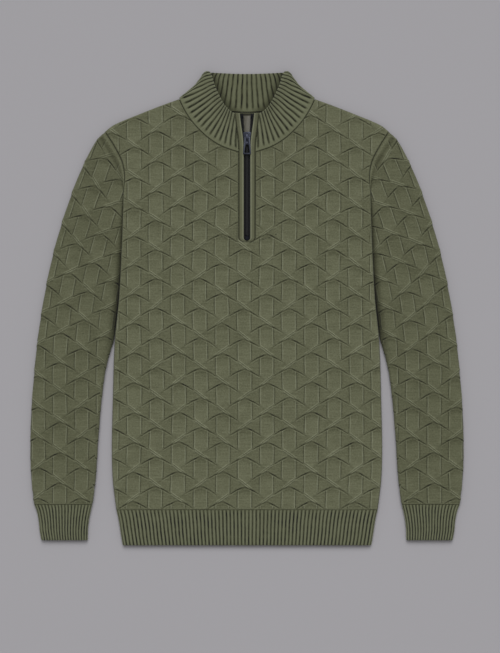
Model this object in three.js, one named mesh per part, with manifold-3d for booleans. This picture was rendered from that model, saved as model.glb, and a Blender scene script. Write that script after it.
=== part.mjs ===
// A quarter zip sweater in a chunky relief knit, laid flat on its back panel.
//
// Millimetres, +Z up. The garment lies in the XY plane with its neck towards +Y, and the origin is the
// middle of its length and width on the surface that it lies on. Left and right are the wearer's, so the
// left sleeve is on +X. The two layers of cloth lie on each other, the back panel below the front one.

import * as THREE from 'three';
import { mergeVertices } from 'three/addons/utils/BufferGeometryUtils.js';
import Module from 'manifold-3d';

const wasm = await Module();
wasm.setup();

// ---------------------------------------------------------------- driving dimensions

const wall = 3;                  // the knit cloth
const layerGap = 1;              // air between the back layer and the front layer
const seamGap = 0.5;             // clearance where two pieces are sewn together
const besideGap = 1.3;           // clearance between the body's side and the sleeve that lies beside it
const edgeRadius = 3;            // how far a seamed edge rolls over
const frontBottom = wall + layerGap;
const bodyThickness = frontBottom + wall;
const foldRadius = bodyThickness / 2;

const hemSeamY = -311.4;         // where the hem rib is sewn to the body
const neckPoint = { x: 105.4, y: 323.8 };       // top of the shoulder beside the collar
const backNeckY = 303.5;         // the lowest point of the back neckline

// Half width of the body at each height, from the hem seam up to the underarm.
const sideOutline = [
  { y: -311.4, halfWidth: 202.3 },
  { y: -265.8, halfWidth: 207.7 },
  { y: -219.3, halfWidth: 209.2 },
  { y: -141.8, halfWidth: 207.7 },
  { y: -48.8, halfWidth: 204.6 },
  { y: 13.2, halfWidth: 198.4 },
  { y: 86, halfWidth: 194.4 },
  { y: 144.9, halfWidth: 192.2 },
  { y: 179, halfWidth: 191.5 },
];

// The armhole seam from the underarm up to the shoulder point.
const armholeOutline = [
  { x: 191.5, y: 179 },
  { x: 189.6, y: 196 },
  { x: 190, y: 212 },
  { x: 193.5, y: 228 },
  { x: 204, y: 249 },
  { x: 219.5, y: 273.6 },
];

// The shoulder from the neck point out to the shoulder point.
const shoulderOutline = [
  { x: 105.4, y: 323.8 },
  { x: 128.7, y: 315.4 },
  { x: 164.3, y: 301.5 },
  { x: 207.7, y: 282.9 },
  { x: 219.5, y: 273.6 },
];

// The sleeve's outer fold from the shoulder point down to the cuff seam.
const sleeveOuterOutline = [
  { x: 220, y: 272.9 },
  { x: 232.5, y: 261.2 },
  { x: 249.6, y: 230.2 },
  { x: 263.5, y: 199.2 },
  { x: 285.2, y: 137.2 },
  { x: 302.3, y: 75.2 },
  { x: 314.7, y: 13.2 },
  { x: 324, y: -48.8 },
  { x: 330.2, y: -110.8 },
  { x: 334.6, y: -172.8 },
  { x: 334.8, y: -250.3 },
  { x: 329.6, y: -303.1 },
];

// The sleeve's inner fold from where it leaves the body's side down to the cuff seam.
const sleeveInnerOutline = [
  { x: 210.8, y: -64.3 },
  { x: 218.6, y: -95.3 },
  { x: 224.8, y: -141.8 },
  { x: 229.4, y: -196.1 },
  { x: 234.1, y: -265.8 },
  { x: 239.4, y: -303.1 },
];

// Rib bands: the two ends of each cross row, at its height. The cuff's x runs from the body outwards.
const cuffRows = [
  { y: -303.5, inner: 239.6, outer: 329.2 },
  { y: -312.3, inner: 241.8, outer: 325.5 },
  { y: -327.8, inner: 244.9, outer: 322.4 },
  { y: -343.3, inner: 246.5, outer: 320.9 },
  { y: -358.8, inner: 246.6, outer: 318.2 },
];
const hemRows = [
  { y: -311.8, inner: -202, outer: 202 },
  { y: -327.8, inner: -198.4, outer: 198.4 },
  { y: -350, inner: -195, outer: 195 },
  { y: -366.6, inner: -192.2, outer: 192.2 },
];
const ribWall = 2.8;
const ribThickness = 6.4;

// The front neckline from the placket out to the neck point.
const frontNeckline = [
  { x: 12.9, y: 241.7 },
  { x: 38.3, y: 250.6 },
  { x: 56.9, y: 261.6 },
  { x: 73.5, y: 276.1 },
  { x: 88, y: 292.8 },
  { x: 99.5, y: 311.4 },
  { x: 105.4, y: 323.8 },
];

// The free top edge of the collar's front half, from the placket out to the side fold.
const collarFrontTop = [
  { x: 19, y: 301.2 },
  { x: 25.7, y: 305.2 },
  { x: 34.1, y: 313.6 },
  { x: 42.5, y: 328 },
  { x: 50.7, y: 344.6 },
  { x: 56.9, y: 359.1 },
  { x: 62, y: 366.6 },
];

// The collar's side fold from the neck point up to its top corner.
const collarFold = [
  { x: 105.4, y: 323.8 },
  { x: 91.5, y: 334 },
  { x: 80.6, y: 343.3 },
  { x: 72.9, y: 352.6 },
  { x: 66.7, y: 361.9 },
  { x: 62, y: 366.6 },
];
const collarBackTopY = 362;      // the back top edge dips here in the middle
const collarWall = 3;
const foldRise = 6;              // how far the front half has lifted at its free edge: at the fold,
const centreRise = 4;            // beside the placket
const archRise = 4;              // and, over the line between those, halfway round

// The zip. Half widths are from its centre line, x = 0.
const zipEndY = 109.6;           // centre of the rounded bottom end
const slitHalfWidth = 12.7;
const placketWidth = 7.4;
const placketThickness = 2.8;
const tapeThickness = 0.6;
const collarTopY = 301.2;
const neckSeamY = 241.7;
// How far the placket's inner edge and the zip tape's inner edge stand from the centre line.
const zipOpening = [
  { y: 104.6, placket: 5, tape: 0.25 },
  { y: 250, placket: 5, tape: 0.25 },
  { y: 260, placket: 5.5, tape: 0.5 },
  { y: 267, placket: 6.4, tape: 1.9 },
  { y: 274, placket: 7.4, tape: 4.2 },
  { y: 286, placket: 9.2, tape: 5 },
  { y: 301.2, placket: 11, tape: 5.8 },
];
const coil = { halfWidth: 2.8, height: 2, sideWidth: 2.3, gap: 0.3 };
const slider = { bottomY: 257.6, topY: 272.8, bottomHalf: 4.7, topHalf: 6.3, height: 3.1, plate: 0.4 };
const bridge = { halfWidth: 1.1, frontY: 260.6, backY: 271.4, thickness: 1.2, height: 3.5 };
const tab = {
  pivotY: 264.2, barRadius: 0.7, thickness: 1.4, clearance: 0.45,
  topHalf: 4.4, bottomHalf: 6.3, bottomY: 238.2, rail: 2,
  eyeHalf: 1.9, eyeBottomY: 257.4, windowTopY: 253.2, windowTopHalf: 2.3,
};
const bottomStop = { bottomY: 106.2, topY: 111.8, halfWidth: 2.9, height: 2.4 };
const topStop = { bottomY: 294.4, topY: 297.4, width: 2.6, height: 2.2 };
const neckLabel = { halfWidth: 15, bottomY: 273, topY: 301.6, thickness: 0.4 };

// ---------------------------------------------------------------- curves and patches

function smoothCurve(rows) {
  const points = rows.map((row) => new THREE.Vector3(row.x, row.y, 0));
  const curve = new THREE.CatmullRomCurve3(points, false, 'centripetal');
  return (t) => curve.getPointAt(THREE.MathUtils.clamp(t, 0, 1));
}

// The point at height y on a table of rows, each column joined by straight lines.
function rowAt(rows, y, column) {
  const last = rows.length - 1;
  const i = Math.max(1, rows.findIndex((row, k) => k === last || row.y >= y));
  const t = THREE.MathUtils.clamp((y - rows[i - 1].y) / (rows[i].y - rows[i - 1].y), 0, 1);
  return THREE.MathUtils.lerp(rows[i - 1][column], rows[i][column], t);
}

// A Coons patch: the surface between four boundary curves that share their corners.
function patch(bottom, top, left, right) {
  return (u, v) => {
    const point = new THREE.Vector3();
    point.addScaledVector(left(v), 1 - u).addScaledVector(right(v), u);
    point.addScaledVector(bottom(u), 1 - v).addScaledVector(top(u), v);
    point.addScaledVector(bottom(0), -(1 - u) * (1 - v)).addScaledVector(bottom(1), -u * (1 - v));
    point.addScaledVector(top(0), -(1 - u) * v).addScaledVector(top(1), -u * v);
    return point;
  };
}

const steps = (count) => Array.from({ length: count + 1 }, (_, i) => i / count);
const line = (a, b) => (t) => new THREE.Vector3().lerpVectors(a, b, t);
const moved = (point, x, y, z) => new THREE.Vector3(point.x + x, point.y + y, point.z + z);
const atHeight = (point, z) => new THREE.Vector3(point.x, point.y, z);

// How far a rounded edge has dropped at a distance inside it.
function edgeDrop(distance, radius) {
  const inside = Math.min(Math.max(distance, 0), radius);
  return radius - Math.sqrt(radius ** 2 - (radius - inside) ** 2);
}

// ---------------------------------------------------------------- closed solids from grids of points

// Quads list their corners in one sense round the solid. The solid is turned the right way out.
function solidFrom(quads) {
  const positions = [];
  for (const [a, b, c, d] of quads) {
    for (const p of [a, b, c, a, c, d]) positions.push(p.x, p.y, p.z);
  }
  let geometry = new THREE.BufferGeometry();
  geometry.setAttribute('position', new THREE.Float32BufferAttribute(positions, 3));
  geometry = mergeVertices(geometry, 1e-3);
  const place = geometry.getAttribute('position');
  const index = Array.from(geometry.getIndex().array);
  const corner = (i) => new THREE.Vector3().fromBufferAttribute(place, i);
  const kept = [];
  let volume = 0;
  for (let i = 0; i < index.length; i += 3) {
    const [a, b, c] = index.slice(i, i + 3);
    if (a === b || b === c || c === a) continue;
    kept.push([a, b, c]);
    volume += corner(a).dot(corner(b).cross(corner(c)));
  }
  geometry.setIndex((volume < 0 ? kept.map((face) => face.reverse()) : kept).flat());
  geometry.computeVertexNormals();
  return geometry;
}

const gridQuads = (grid) => grid.slice(1).flatMap((row, i) => row.slice(1).map((point, j) =>
  [grid[i][j], row[j], point, grid[i][j + 1]]));
const flipped = (quads) => quads.map((quad) => [...quad].reverse());
const mirrored = (quads) => flipped(quads).map((quad) => quad.map((p) => new THREE.Vector3(-p.x, p.y, p.z)));

// A sheet with a wall: two grids of the same size, joined round their edges. The first joinedRows steps
// of its first column are left open, to meet the same sheet's mirror image.
function sheetQuads(outer, inner, joinedRows = 0) {
  const columns = outer.length - 1;
  const rows = outer[0].length - 1;
  const quads = [...gridQuads(outer), ...flipped(gridQuads(inner))];
  for (let j = 0; j < rows; j++) {
    quads.push([inner[columns][j], inner[columns][j + 1], outer[columns][j + 1], outer[columns][j]]);
    if (j >= joinedRows) quads.push([outer[0][j], outer[0][j + 1], inner[0][j + 1], inner[0][j]]);
  }
  for (let i = 0; i < columns; i++) {
    quads.push([inner[i][0], inner[i + 1][0], outer[i + 1][0], outer[i][0]]);
    quads.push([outer[i][rows], outer[i + 1][rows], inner[i + 1][rows], inner[i][rows]]);
  }
  return quads;
}

// A tube with a wall and open ends: each grid is a list of closed rings.
function tubeQuads(outerRings, innerRings) {
  const close = (rings) => rings.map((ring) => [...ring, ring[0]]);
  const outer = close(outerRings);
  const inner = close(innerRings);
  const quads = [...gridQuads(outer), ...flipped(gridQuads(inner))];
  const last = outer.length - 1;
  for (let i = 0; i + 1 < outer[0].length; i++) {
    quads.push([outer[0][i], outer[0][i + 1], inner[0][i + 1], inner[0][i]]);
    quads.push([inner[last][i], inner[last][i + 1], outer[last][i + 1], outer[last][i]]);
  }
  return quads;
}

// A bar lofted through closed rings, with flat ends.
function barQuads(rings) {
  const closed = rings.map((ring) => [...ring, ring[0]]);
  const quads = gridQuads(closed);
  const ends = [rings[0], [...rings[rings.length - 1]].reverse()];
  for (const ring of ends) {
    for (let i = 1; i + 1 < ring.length; i++) quads.push([ring[0], ring[i], ring[i + 1], ring[0]]);
  }
  return quads;
}

// ---------------------------------------------------------------- materials

const knitCloth = new THREE.MeshStandardMaterial({ color: 0x5b5d49, roughness: 0.95, metalness: 0 });
const ribCloth = new THREE.MeshStandardMaterial({ color: 0x575a45, roughness: 0.95, metalness: 0 });
const zipCloth = new THREE.MeshStandardMaterial({ color: 0x17181b, roughness: 0.8, metalness: 0 });
const coilNylon = new THREE.MeshStandardMaterial({ color: 0x1d1f23, roughness: 0.5, metalness: 0 });
const darkMetal = new THREE.MeshStandardMaterial({ color: 0x474b57, roughness: 0.35, metalness: 1 });
const labelCloth = new THREE.MeshStandardMaterial({ color: 0x8c8a80, roughness: 0.9, metalness: 0 });

const sweater = new THREE.Group();

function addPiece(name, geometry, material) {
  const mesh = new THREE.Mesh(geometry, material);
  mesh.name = name;
  sweater.add(mesh);
  return mesh;
}

// ---------------------------------------------------------------- body panels

const armhole = smoothCurve(armholeOutline);
const bodySide = smoothCurve(sideOutline.map((row) => ({ x: row.halfWidth, y: row.y })));
const shoulder = smoothCurve(shoulderOutline);
const underarm = armhole(0);
const seamStations = [0, 0.05, 0.2, 0.36, 0.52, 0.68, 0.84, 0.96, 1];    // along the armhole seam
const neckStations = [0, 0.15, 0.3, 0.45, 0.6, 0.75, 0.88, 1];           // along half a neckline
const shoulderStations = [0.3, 0.6, 0.88, 0.98, 1];
const sideStations = [0, 0.16, 0.32, 0.48, 0.65, 0.82, 0.92, 0.985];
const slitArc = steps(5);

// The boundary of half a panel as lists of points: neckline then shoulder, and side then armhole.
function halfPanel(neckline, centre, bottomZ, topZ, rollsUp) {
  const topEdge = [...neckStations.map(neckline), ...shoulderStations.map(shoulder)];
  const outerEdge = [...sideStations.map(bodySide), ...seamStations.map(armhole)];
  const columns = topEdge.length - 1;
  const rows = outerEdge.length - 1;
  const hemSeam = line(new THREE.Vector3(0, hemSeamY, 0), outerEdge[0]);
  const surface = patch(
    (u) => hemSeam(u),
    (u) => topEdge[Math.round(u * columns)],
    (v) => centre[Math.round(v * rows)],
    (v) => outerEdge[Math.round(v * rows)],
  );
  const grids = [bottomZ, topZ].map((z) => {
    const rolls = rollsUp ? z === bottomZ : z === topZ;
    const sense = rollsUp ? 1 : -1;
    return steps(columns).map((u) => steps(rows).map((v) => {
      const point = surface(u, v);
      const sideRow = Math.round(v * rows) <= sideStations.length;
      const fromSide = sideRow ? bodySide(v * rows / sideStations.length).x - point.x : edgeRadius;
      const onShoulder = Math.round(u * columns) >= neckStations.length;
      const fromShoulder = onShoulder ? topEdge[Math.round(u * columns)].y - point.y : edgeRadius;
      const near = Math.min(Math.max(fromSide, 0), Math.max(fromShoulder, 0));
      const drop = rolls ? edgeDrop(near, edgeRadius - seamGap) : 0;
      return atHeight(point, z + sense * drop);
    }));
  });
  return { inner: grids[0], outer: grids[1] };
}

const rowTotal = sideStations.length + seamStations.length - 1;
const slitBottomY = zipEndY - slitHalfWidth;
const belowSlit = 20;            // the last station on the centre line stands this far under the slit
const neckDipPower = 2.4;        // how flat the back neckline is in its middle
const frontNeck = smoothCurve(frontNeckline);
const frontJoined = 5;
// The front's centre line runs up to the slit, round its bottom end, and up its edge to the neckline.
const slitSteps = rowTotal - frontJoined - slitArc.length + 1;
const frontCentre = [
  ...steps(frontJoined - 1).map(line(
    new THREE.Vector3(0, hemSeamY, 0), new THREE.Vector3(0, slitBottomY - belowSlit, 0))),
  ...slitArc.map((t) => new THREE.Vector3(
    slitHalfWidth * Math.sin(t * Math.PI / 2), zipEndY - slitHalfWidth * Math.cos(t * Math.PI / 2), 0)),
  ...steps(slitSteps).slice(1).map((t) =>
    new THREE.Vector3(slitHalfWidth, THREE.MathUtils.lerp(zipEndY, frontNeck(0).y, t), 0)),
];
const front = halfPanel(frontNeck, frontCentre, frontBottom, bodyThickness, false);
const frontHalf = sheetQuads(front.outer, front.inner, frontJoined);
addPiece('front_panel', solidFrom([...frontHalf, ...mirrored(frontHalf)]), knitCloth);

// The back neckline is a shallow curve between the neck points.
const backNeck = (t) => new THREE.Vector3(
  neckPoint.x * t, backNeckY + (neckPoint.y - backNeckY) * t ** neckDipPower, 0);
const backCentre = steps(rowTotal).map(line(
  new THREE.Vector3(0, hemSeamY, 0), new THREE.Vector3(0, backNeckY, 0)));
const back = halfPanel(backNeck, backCentre, 0, wall, true);
const backHalf = sheetQuads(back.outer, back.inner, rowTotal);
addPiece('back_panel', solidFrom([...backHalf, ...mirrored(backHalf)]), knitCloth);

// ---------------------------------------------------------------- sleeves and rib bands

// The ring of a flattened tube between two edge points: along the top, round one fold, along the bottom
// and round the other. The fold's centre is one radius inside each edge point.
function flatRing(across, edgeA, edgeB, thickness, inset) {
  const out = new THREE.Vector3().subVectors(edgeB, edgeA).setZ(0).normalize();
  const radius = thickness / 2;
  const foldSteps = [1, 2, 3].map((k) => k * Math.PI / 4);
  const foldRound = (centre, way, start) => foldSteps.map((angle) => moved(centre,
    out.x * way * (radius - inset) * Math.sin(angle), out.y * way * (radius - inset) * Math.sin(angle),
    start * (radius - inset) * Math.cos(angle)));
  const top = across.map((p) => moved(p, 0, 0, radius - inset));
  const bottom = [...across].reverse().map((p) => moved(p, 0, 0, inset - radius));
  const last = across[across.length - 1];
  return [...top, ...foldRound(last, 1, 1), ...bottom, ...foldRound(across[0], -1, -1)]
    .map((p) => moved(p, 0, 0, radius));
}

// The inner fold runs down beside the body's side, then on its own to the cuff.
const besideBody = sideOutline.filter((row) => row.y > -40)
  .map((row) => ({ x: row.halfWidth + besideGap, y: row.y })).reverse();
const sleeveOuter = smoothCurve(sleeveOuterOutline);
const sleeveInner = smoothCurve([...besideBody, { x: 206.2, y: -48.8 }, ...sleeveInnerOutline]);
const sleeveRows = steps(18);
const tuck = { width: 22, low: 0.4, fromY: 215, toY: -60, fade: 45 };    // the sleeve dips to the body here

// Share of its full height that the sleeve keeps at a point: it lies lower next to the body's side.
function sleeveHeight(point, innerEdge) {
  const near = 1 - THREE.MathUtils.smoothstep(point.distanceTo(innerEdge), 0, tuck.width);
  const along = THREE.MathUtils.smoothstep(point.y, tuck.toY - tuck.fade, tuck.toY + tuck.fade)
    * (1 - THREE.MathUtils.smoothstep(point.y, tuck.fromY - tuck.fade, tuck.fromY));
  return 1 - (1 - tuck.low) * near * along;
}

function sleeveRings(inset) {
  const inside = [...seamStations.slice(1, -1)].reverse();
  const sleeveSeam = (w) => moved(armhole(w), seamGap, 0, 0);
  return sleeveRows.map((v) => {
    const outerEdge = sleeveOuter(v);
    const innerEdge = sleeveInner(v);
    const inward = new THREE.Vector3().subVectors(innerEdge, outerEdge).normalize();
    const start = moved(outerEdge, inward.x * foldRadius, inward.y * foldRadius, 0);
    const end = moved(innerEdge, -inward.x * foldRadius, -inward.y * foldRadius, 0);
    const across = inside.map((w, k) => {
      const u = k / (inside.length - 1);
      const first = sleeveSeam(inside[0]);
      const last = sleeveSeam(inside[inside.length - 1]);
      const bend = sleeveSeam(w).sub(new THREE.Vector3().lerpVectors(first, last, u));
      return new THREE.Vector3().lerpVectors(start, end, u).addScaledVector(bend, (1 - v) ** 3);
    });
    const ring = flatRing(across, outerEdge, innerEdge, bodyThickness, inset);
    return ring.map((p) => atHeight(p, p.z * sleeveHeight(atHeight(p, 0), innerEdge)));
  });
}

function ribRings(rows, inset) {
  return rows.map((row) => {
    const a = new THREE.Vector3(row.inner, row.y, 0);
    const b = new THREE.Vector3(row.outer, row.y, 0);
    const radius = ribThickness / 2;
    const across = steps(rows === hemRows ? 12 : 5).map((t) =>
      new THREE.Vector3().lerpVectors(moved(a, radius, 0, 0), moved(b, -radius, 0, 0), t));
    return flatRing(across, a, b, ribThickness, inset);
  });
}

const sleeveQuads = tubeQuads(sleeveRings(0), sleeveRings(wall));
const cuffQuads = tubeQuads(ribRings(cuffRows, 0), ribRings(cuffRows, ribWall));
const hemQuads = tubeQuads(ribRings(hemRows, 0), ribRings(hemRows, ribWall));
addPiece('sleeve_left', solidFrom(sleeveQuads), knitCloth);
addPiece('sleeve_right', solidFrom(mirrored(sleeveQuads)), knitCloth);
addPiece('cuff_left', solidFrom(cuffQuads), ribCloth);
addPiece('cuff_right', solidFrom(mirrored(cuffQuads)), ribCloth);
addPiece('hem_rib', solidFrom(hemQuads), ribCloth);

// ---------------------------------------------------------------- collar

const collarRows = steps(6);
const foldAngles = [0.2, 0.4, 0.6, 0.8].map((t) => t * Math.PI);
const collarHeight = 60;         // from the neck seam to the top edge
const backSeamClear = 0.038;     // the extra share of that height that the back half starts above its seam
const alongStep = 0.05;          // the share of the fold over which its direction is taken
const collarMid = collarWall / 2;
const sideFold = smoothCurve(collarFold);
const collarTop = smoothCurve(collarFrontTop);

// How far the front half has lifted, t of the way from the placket to the fold, at height share h.
const lift = (t, h) => h ** (5 - 2 * t) * (centreRise * (1 - t) + foldRise * t + archRise * 4 * t * (1 - t));

// The outward direction of the fold in plan, square to it.
function foldOut(h) {
  const along = sideFold(Math.min(h + alongStep, 1)).sub(sideFold(Math.max(h - alongStep, 0))).normalize();
  return new THREE.Vector3(along.y, -along.x, 0);
}

// The share of the height at which a row starts: just clear of the neck seam, and further at the fold's
// back, where the seam turns from the front neckline to the back one.
const clearOfSeam = (h, foldShare) => {
  const start = seamGap / collarHeight + backSeamClear * foldShare;
  return start + h * (1 - start);
};

function collarHalf() {
  const foldCentre = (h) => {
    const reach = foldRadius + lift(1, h) / 2;
    return sideFold(h).addScaledVector(foldOut(h), -reach);
  };
  const placketEdge = line(frontNeck(0), collarTop(0));
  const backTop = (t) => new THREE.Vector3(
    sideFold(1).x * t, collarBackTopY + (sideFold(1).y - collarBackTopY) * t ** 2, 0);
  const frontPatch = patch(frontNeck, collarTop, placketEdge, sideFold);
  const backPatch = patch(backNeck, backTop, line(backNeck(0), backTop(0)), sideFold);
  const column = (surface, t, z, sense, seamShare) => collarRows.map((h) => {
    const clear = clearOfSeam(h, seamShare * t ** 4);
    const stop = surface(1, clear).sub(foldCentre(clear));
    return { point: atHeight(surface(t, clear).addScaledVector(stop, -(t ** 4)), z(t, h)),
      out: new THREE.Vector3(0, 0, sense) };
  });
  const frontZ = (t, h) => bodyThickness - collarMid + lift(t, h);
  const backZ = () => collarMid;
  const fold = foldAngles.map((angle) => collarRows.map((h) => {
    const radius = (frontZ(1, h) - backZ()) / 2;
    const clear = clearOfSeam(h, angle / Math.PI);
    const out = foldOut(clear).multiplyScalar(Math.sin(angle)).setZ(Math.cos(angle));
    const centre = atHeight(foldCentre(clear), backZ() + radius);
    return { point: centre.addScaledVector(out, radius), out };
  }));
  return [
    ...neckStations.map((t) => column(frontPatch, t, frontZ, 1, 0)),
    ...fold,
    ...[...neckStations].reverse().map((t) => column(backPatch, t, backZ, -1, 1)),
  ];
}

const rightToBack = collarHalf();
const mirrorRib = ({ point, out }) => ({
  point: new THREE.Vector3(-point.x, point.y, point.z), out: new THREE.Vector3(-out.x, out.y, out.z) });
const collarBand = [...rightToBack, ...rightToBack.slice(0, -1).reverse().map((rib) => rib.map(mirrorRib))];
const collarSide = (sense) => collarBand.map((rib) => rib.map(({ point, out }) =>
  point.clone().addScaledVector(out, sense * collarMid)));
addPiece('collar', solidFrom(sheetQuads(collarSide(1), collarSide(-1))), ribCloth);

// ---------------------------------------------------------------- placket and zip

// Height of the front layer's underside along the centre line, which lifts with the collar's edge.
function centreZ(y) {
  const h = THREE.MathUtils.clamp((y - neckSeamY) / (collarTopY - neckSeamY), 0, 1);
  return frontBottom + lift(0, h);
}

// Heights at which the bands and tapes beside the zip have a ring.
const zipRows = [
  112, 130, 160, 190, 220, neckSeamY, 250, 256, 260, 264, 267, 270, 274, 280, 286, 291, 296, collarTopY,
];
const tapeBottomY = 104.9;
const tapeInset = 0.6;           // the tape's outer edge stops this far inside the placket's
const tapeEndInset = 0.8;        // and this much further at its bottom end
const aboveTape = tapeThickness + coil.gap;
const openCoilLower = 0.3;       // the open coil halves stand this much lower than the closed coil

const cornerShare = 0.3;         // a rounded corner's middle point stands this share of it inside

// A rounded band's ring, between two distances from the centre line.
function bandRing(y, from, to, base, height, roundness) {
  const corner = Math.min(roundness, (to - from) / 2);
  const profile = [
    [from, 0], [to, 0], [to, height - corner], [to - corner * cornerShare, height - corner * cornerShare],
    [to - corner, height], [from + corner, height],
    [from + corner * cornerShare, height - corner * cornerShare],
    [from, height - corner],
  ];
  return profile.map(([x, z]) => new THREE.Vector3(x, y, base + z));
}

// The placket band follows the slit's edge and curves in under the zip's bottom end.
function placketRings() {
  const arc = [0.02, 0.2, 0.4, 0.6, 0.8, 1].map((t) => t * Math.PI / 2);
  const base = frontBottom + aboveTape;
  const inner = zipOpening[0].placket;
  const bottom = arc.map((angle) => bandRing(0, inner, inner + placketWidth, base, placketThickness, 1)
    .map((p) => new THREE.Vector3(p.x * Math.sin(angle), zipEndY - p.x * Math.cos(angle), p.z)));
  const straight = zipRows.map((y) => {
    const from = rowAt(zipOpening, y, 'placket');
    return bandRing(y, from, from + placketWidth, centreZ(y) + aboveTape, placketThickness, 1);
  });
  return [...bottom, ...straight];
}

function tapeRings() {
  return [tapeBottomY, ...zipRows].map((y) => {
    const from = rowAt(zipOpening, y, 'tape');
    const to = rowAt(zipOpening, y, 'placket') + placketWidth - tapeInset;
    const reach = y < zipEndY ? to - tapeEndInset : to;
    return [[from, 0], [reach, 0], [reach, tapeThickness], [from, tapeThickness]]
      .map(([x, z]) => new THREE.Vector3(x, y, centreZ(y) + z));
  });
}

// Each open half of the coil stands on its tape's inner edge above the slider.
function openCoilRings() {
  const rows = [slider.topY + coil.gap, ...zipRows.filter((y) => y > slider.topY + 1 && y < topStop.bottomY),
    topStop.bottomY - coil.gap];
  return rows.map((y) => {
    const from = rowAt(zipOpening, y, 'tape');
    const height = coil.height - openCoilLower;
    return bandRing(y, from, from + coil.sideWidth, centreZ(y) + aboveTape, height, 0.7);
  });
}

const coilBase = frontBottom + aboveTape;

function straightBar(bottomY, topY, from, to, base, height, roundness) {
  return solidFrom(barQuads([bottomY, topY].map((y) => bandRing(y, from, to, base, height, roundness))));
}

const placketHalf = barQuads(placketRings());
const tapeHalf = barQuads(tapeRings());
const openCoil = barQuads(openCoilRings());
addPiece('placket_left', solidFrom(placketHalf), ribCloth);
addPiece('placket_right', solidFrom(mirrored(placketHalf)), ribCloth);
addPiece('zip_tape_left', solidFrom(tapeHalf), zipCloth);
addPiece('zip_tape_right', solidFrom(mirrored(tapeHalf)), zipCloth);
addPiece('zip_coil', straightBar(bottomStop.topY + coil.gap, slider.bottomY - coil.gap,
  -coil.halfWidth, coil.halfWidth, coilBase, coil.height, 0.8), coilNylon);
addPiece('zip_coil_left', solidFrom(openCoil), coilNylon);
addPiece('zip_coil_right', solidFrom(mirrored(openCoil)), coilNylon);
addPiece('zip_bottom_stop', straightBar(bottomStop.bottomY, bottomStop.topY,
  -bottomStop.halfWidth, bottomStop.halfWidth, coilBase, bottomStop.height, 0.7), darkMetal);

const stopOverhang = 0.2;        // how far a top stop reaches past its tape's inner edge
const topStopFrom = rowAt(zipOpening, topStop.topY, 'tape') - stopOverhang;
const topStopBar = barQuads([topStop.bottomY, topStop.topY].map((y) =>
  bandRing(y, topStopFrom, topStopFrom + topStop.width, centreZ(y) + aboveTape, topStop.height, 0.6)));
addPiece('zip_top_stop_left', solidFrom(topStopBar), darkMetal);
addPiece('zip_top_stop_right', solidFrom(mirrored(topStopBar)), darkMetal);

const labelZ = wall + 0.3;
addPiece('neck_label', straightBar(neckLabel.bottomY, neckLabel.topY,
  -neckLabel.halfWidth, neckLabel.halfWidth, labelZ, neckLabel.thickness, 0.1), labelCloth);

// ---------------------------------------------------------------- slider and pull tab

function manifoldFrom(geometry) {
  const bare = geometry.clone();
  bare.deleteAttribute('normal');
  bare.deleteAttribute('uv');
  const merged = mergeVertices(bare, 1e-4);
  return new wasm.Manifold(new wasm.Mesh({
    numProp: 3,
    vertProperties: new Float32Array(merged.getAttribute('position').array),
    triVerts: new Uint32Array(merged.getIndex().array),
  }));
}

function geometryFrom(manifold) {
  const mesh = manifold.getMesh();
  const geometry = new THREE.BufferGeometry();
  geometry.setAttribute('position', new THREE.Float32BufferAttribute(mesh.vertProperties, 3));
  geometry.setIndex(Array.from(mesh.triVerts));
  geometry.computeVertexNormals();
  return geometry;
}

function roundedOutline(corners, radius) {
  const shape = new THREE.Shape();
  const count = corners.length;
  corners.forEach(([x, y], i) => {
    const corner = new THREE.Vector2(x, y);
    const towards = (k) =>
      new THREE.Vector2(...corners[k % count]).sub(corner).setLength(radius).add(corner);
    const before = towards(i + count - 1);
    const after = towards(i + 1);
    if (i === 0) shape.moveTo(before.x, before.y);
    else shape.lineTo(before.x, before.y);
    shape.quadraticCurveTo(x, y, after.x, after.y);
  });
  shape.closePath();
  return shape;
}

const plate = (shape, bottomZ, height) =>
  new THREE.ExtrudeGeometry(shape, { depth: height, bevelEnabled: false, curveSegments: 4 })
    .translate(0, 0, bottomZ);

const sliderTopZ = coilBase + slider.height;
const sliderCorner = 2.4;
const plateClear = 0.25;         // the slider's plate behind the tape, above the back layer of cloth
const divider = { bottomY: 268.6, topY: 272.2, bottomHalf: 0.7, topHalf: 1.6, corner: 0.5, clear: 0.3 };
const sliderOutline = roundedOutline([
  [-slider.bottomHalf, slider.bottomY], [slider.bottomHalf, slider.bottomY],
  [slider.topHalf, slider.topY], [-slider.topHalf, slider.topY]], sliderCorner);
const sliderTop = manifoldFrom(plate(sliderOutline, coilBase, slider.height));
const sliderPlate = manifoldFrom(plate(roundedOutline([
  [-slider.bottomHalf, slider.bottomY + 1], [slider.bottomHalf, slider.bottomY + 1],
  [slider.topHalf, slider.topY - 0.5], [-slider.topHalf, slider.topY - 0.5]], sliderCorner),
wall + plateClear, slider.plate));
const wedge = manifoldFrom(plate(roundedOutline([
  [-divider.bottomHalf, divider.bottomY], [divider.bottomHalf, divider.bottomY],
  [divider.topHalf, divider.topY], [-divider.topHalf, divider.topY]], divider.corner),
wall + divider.clear, coilBase - wall));

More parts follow.
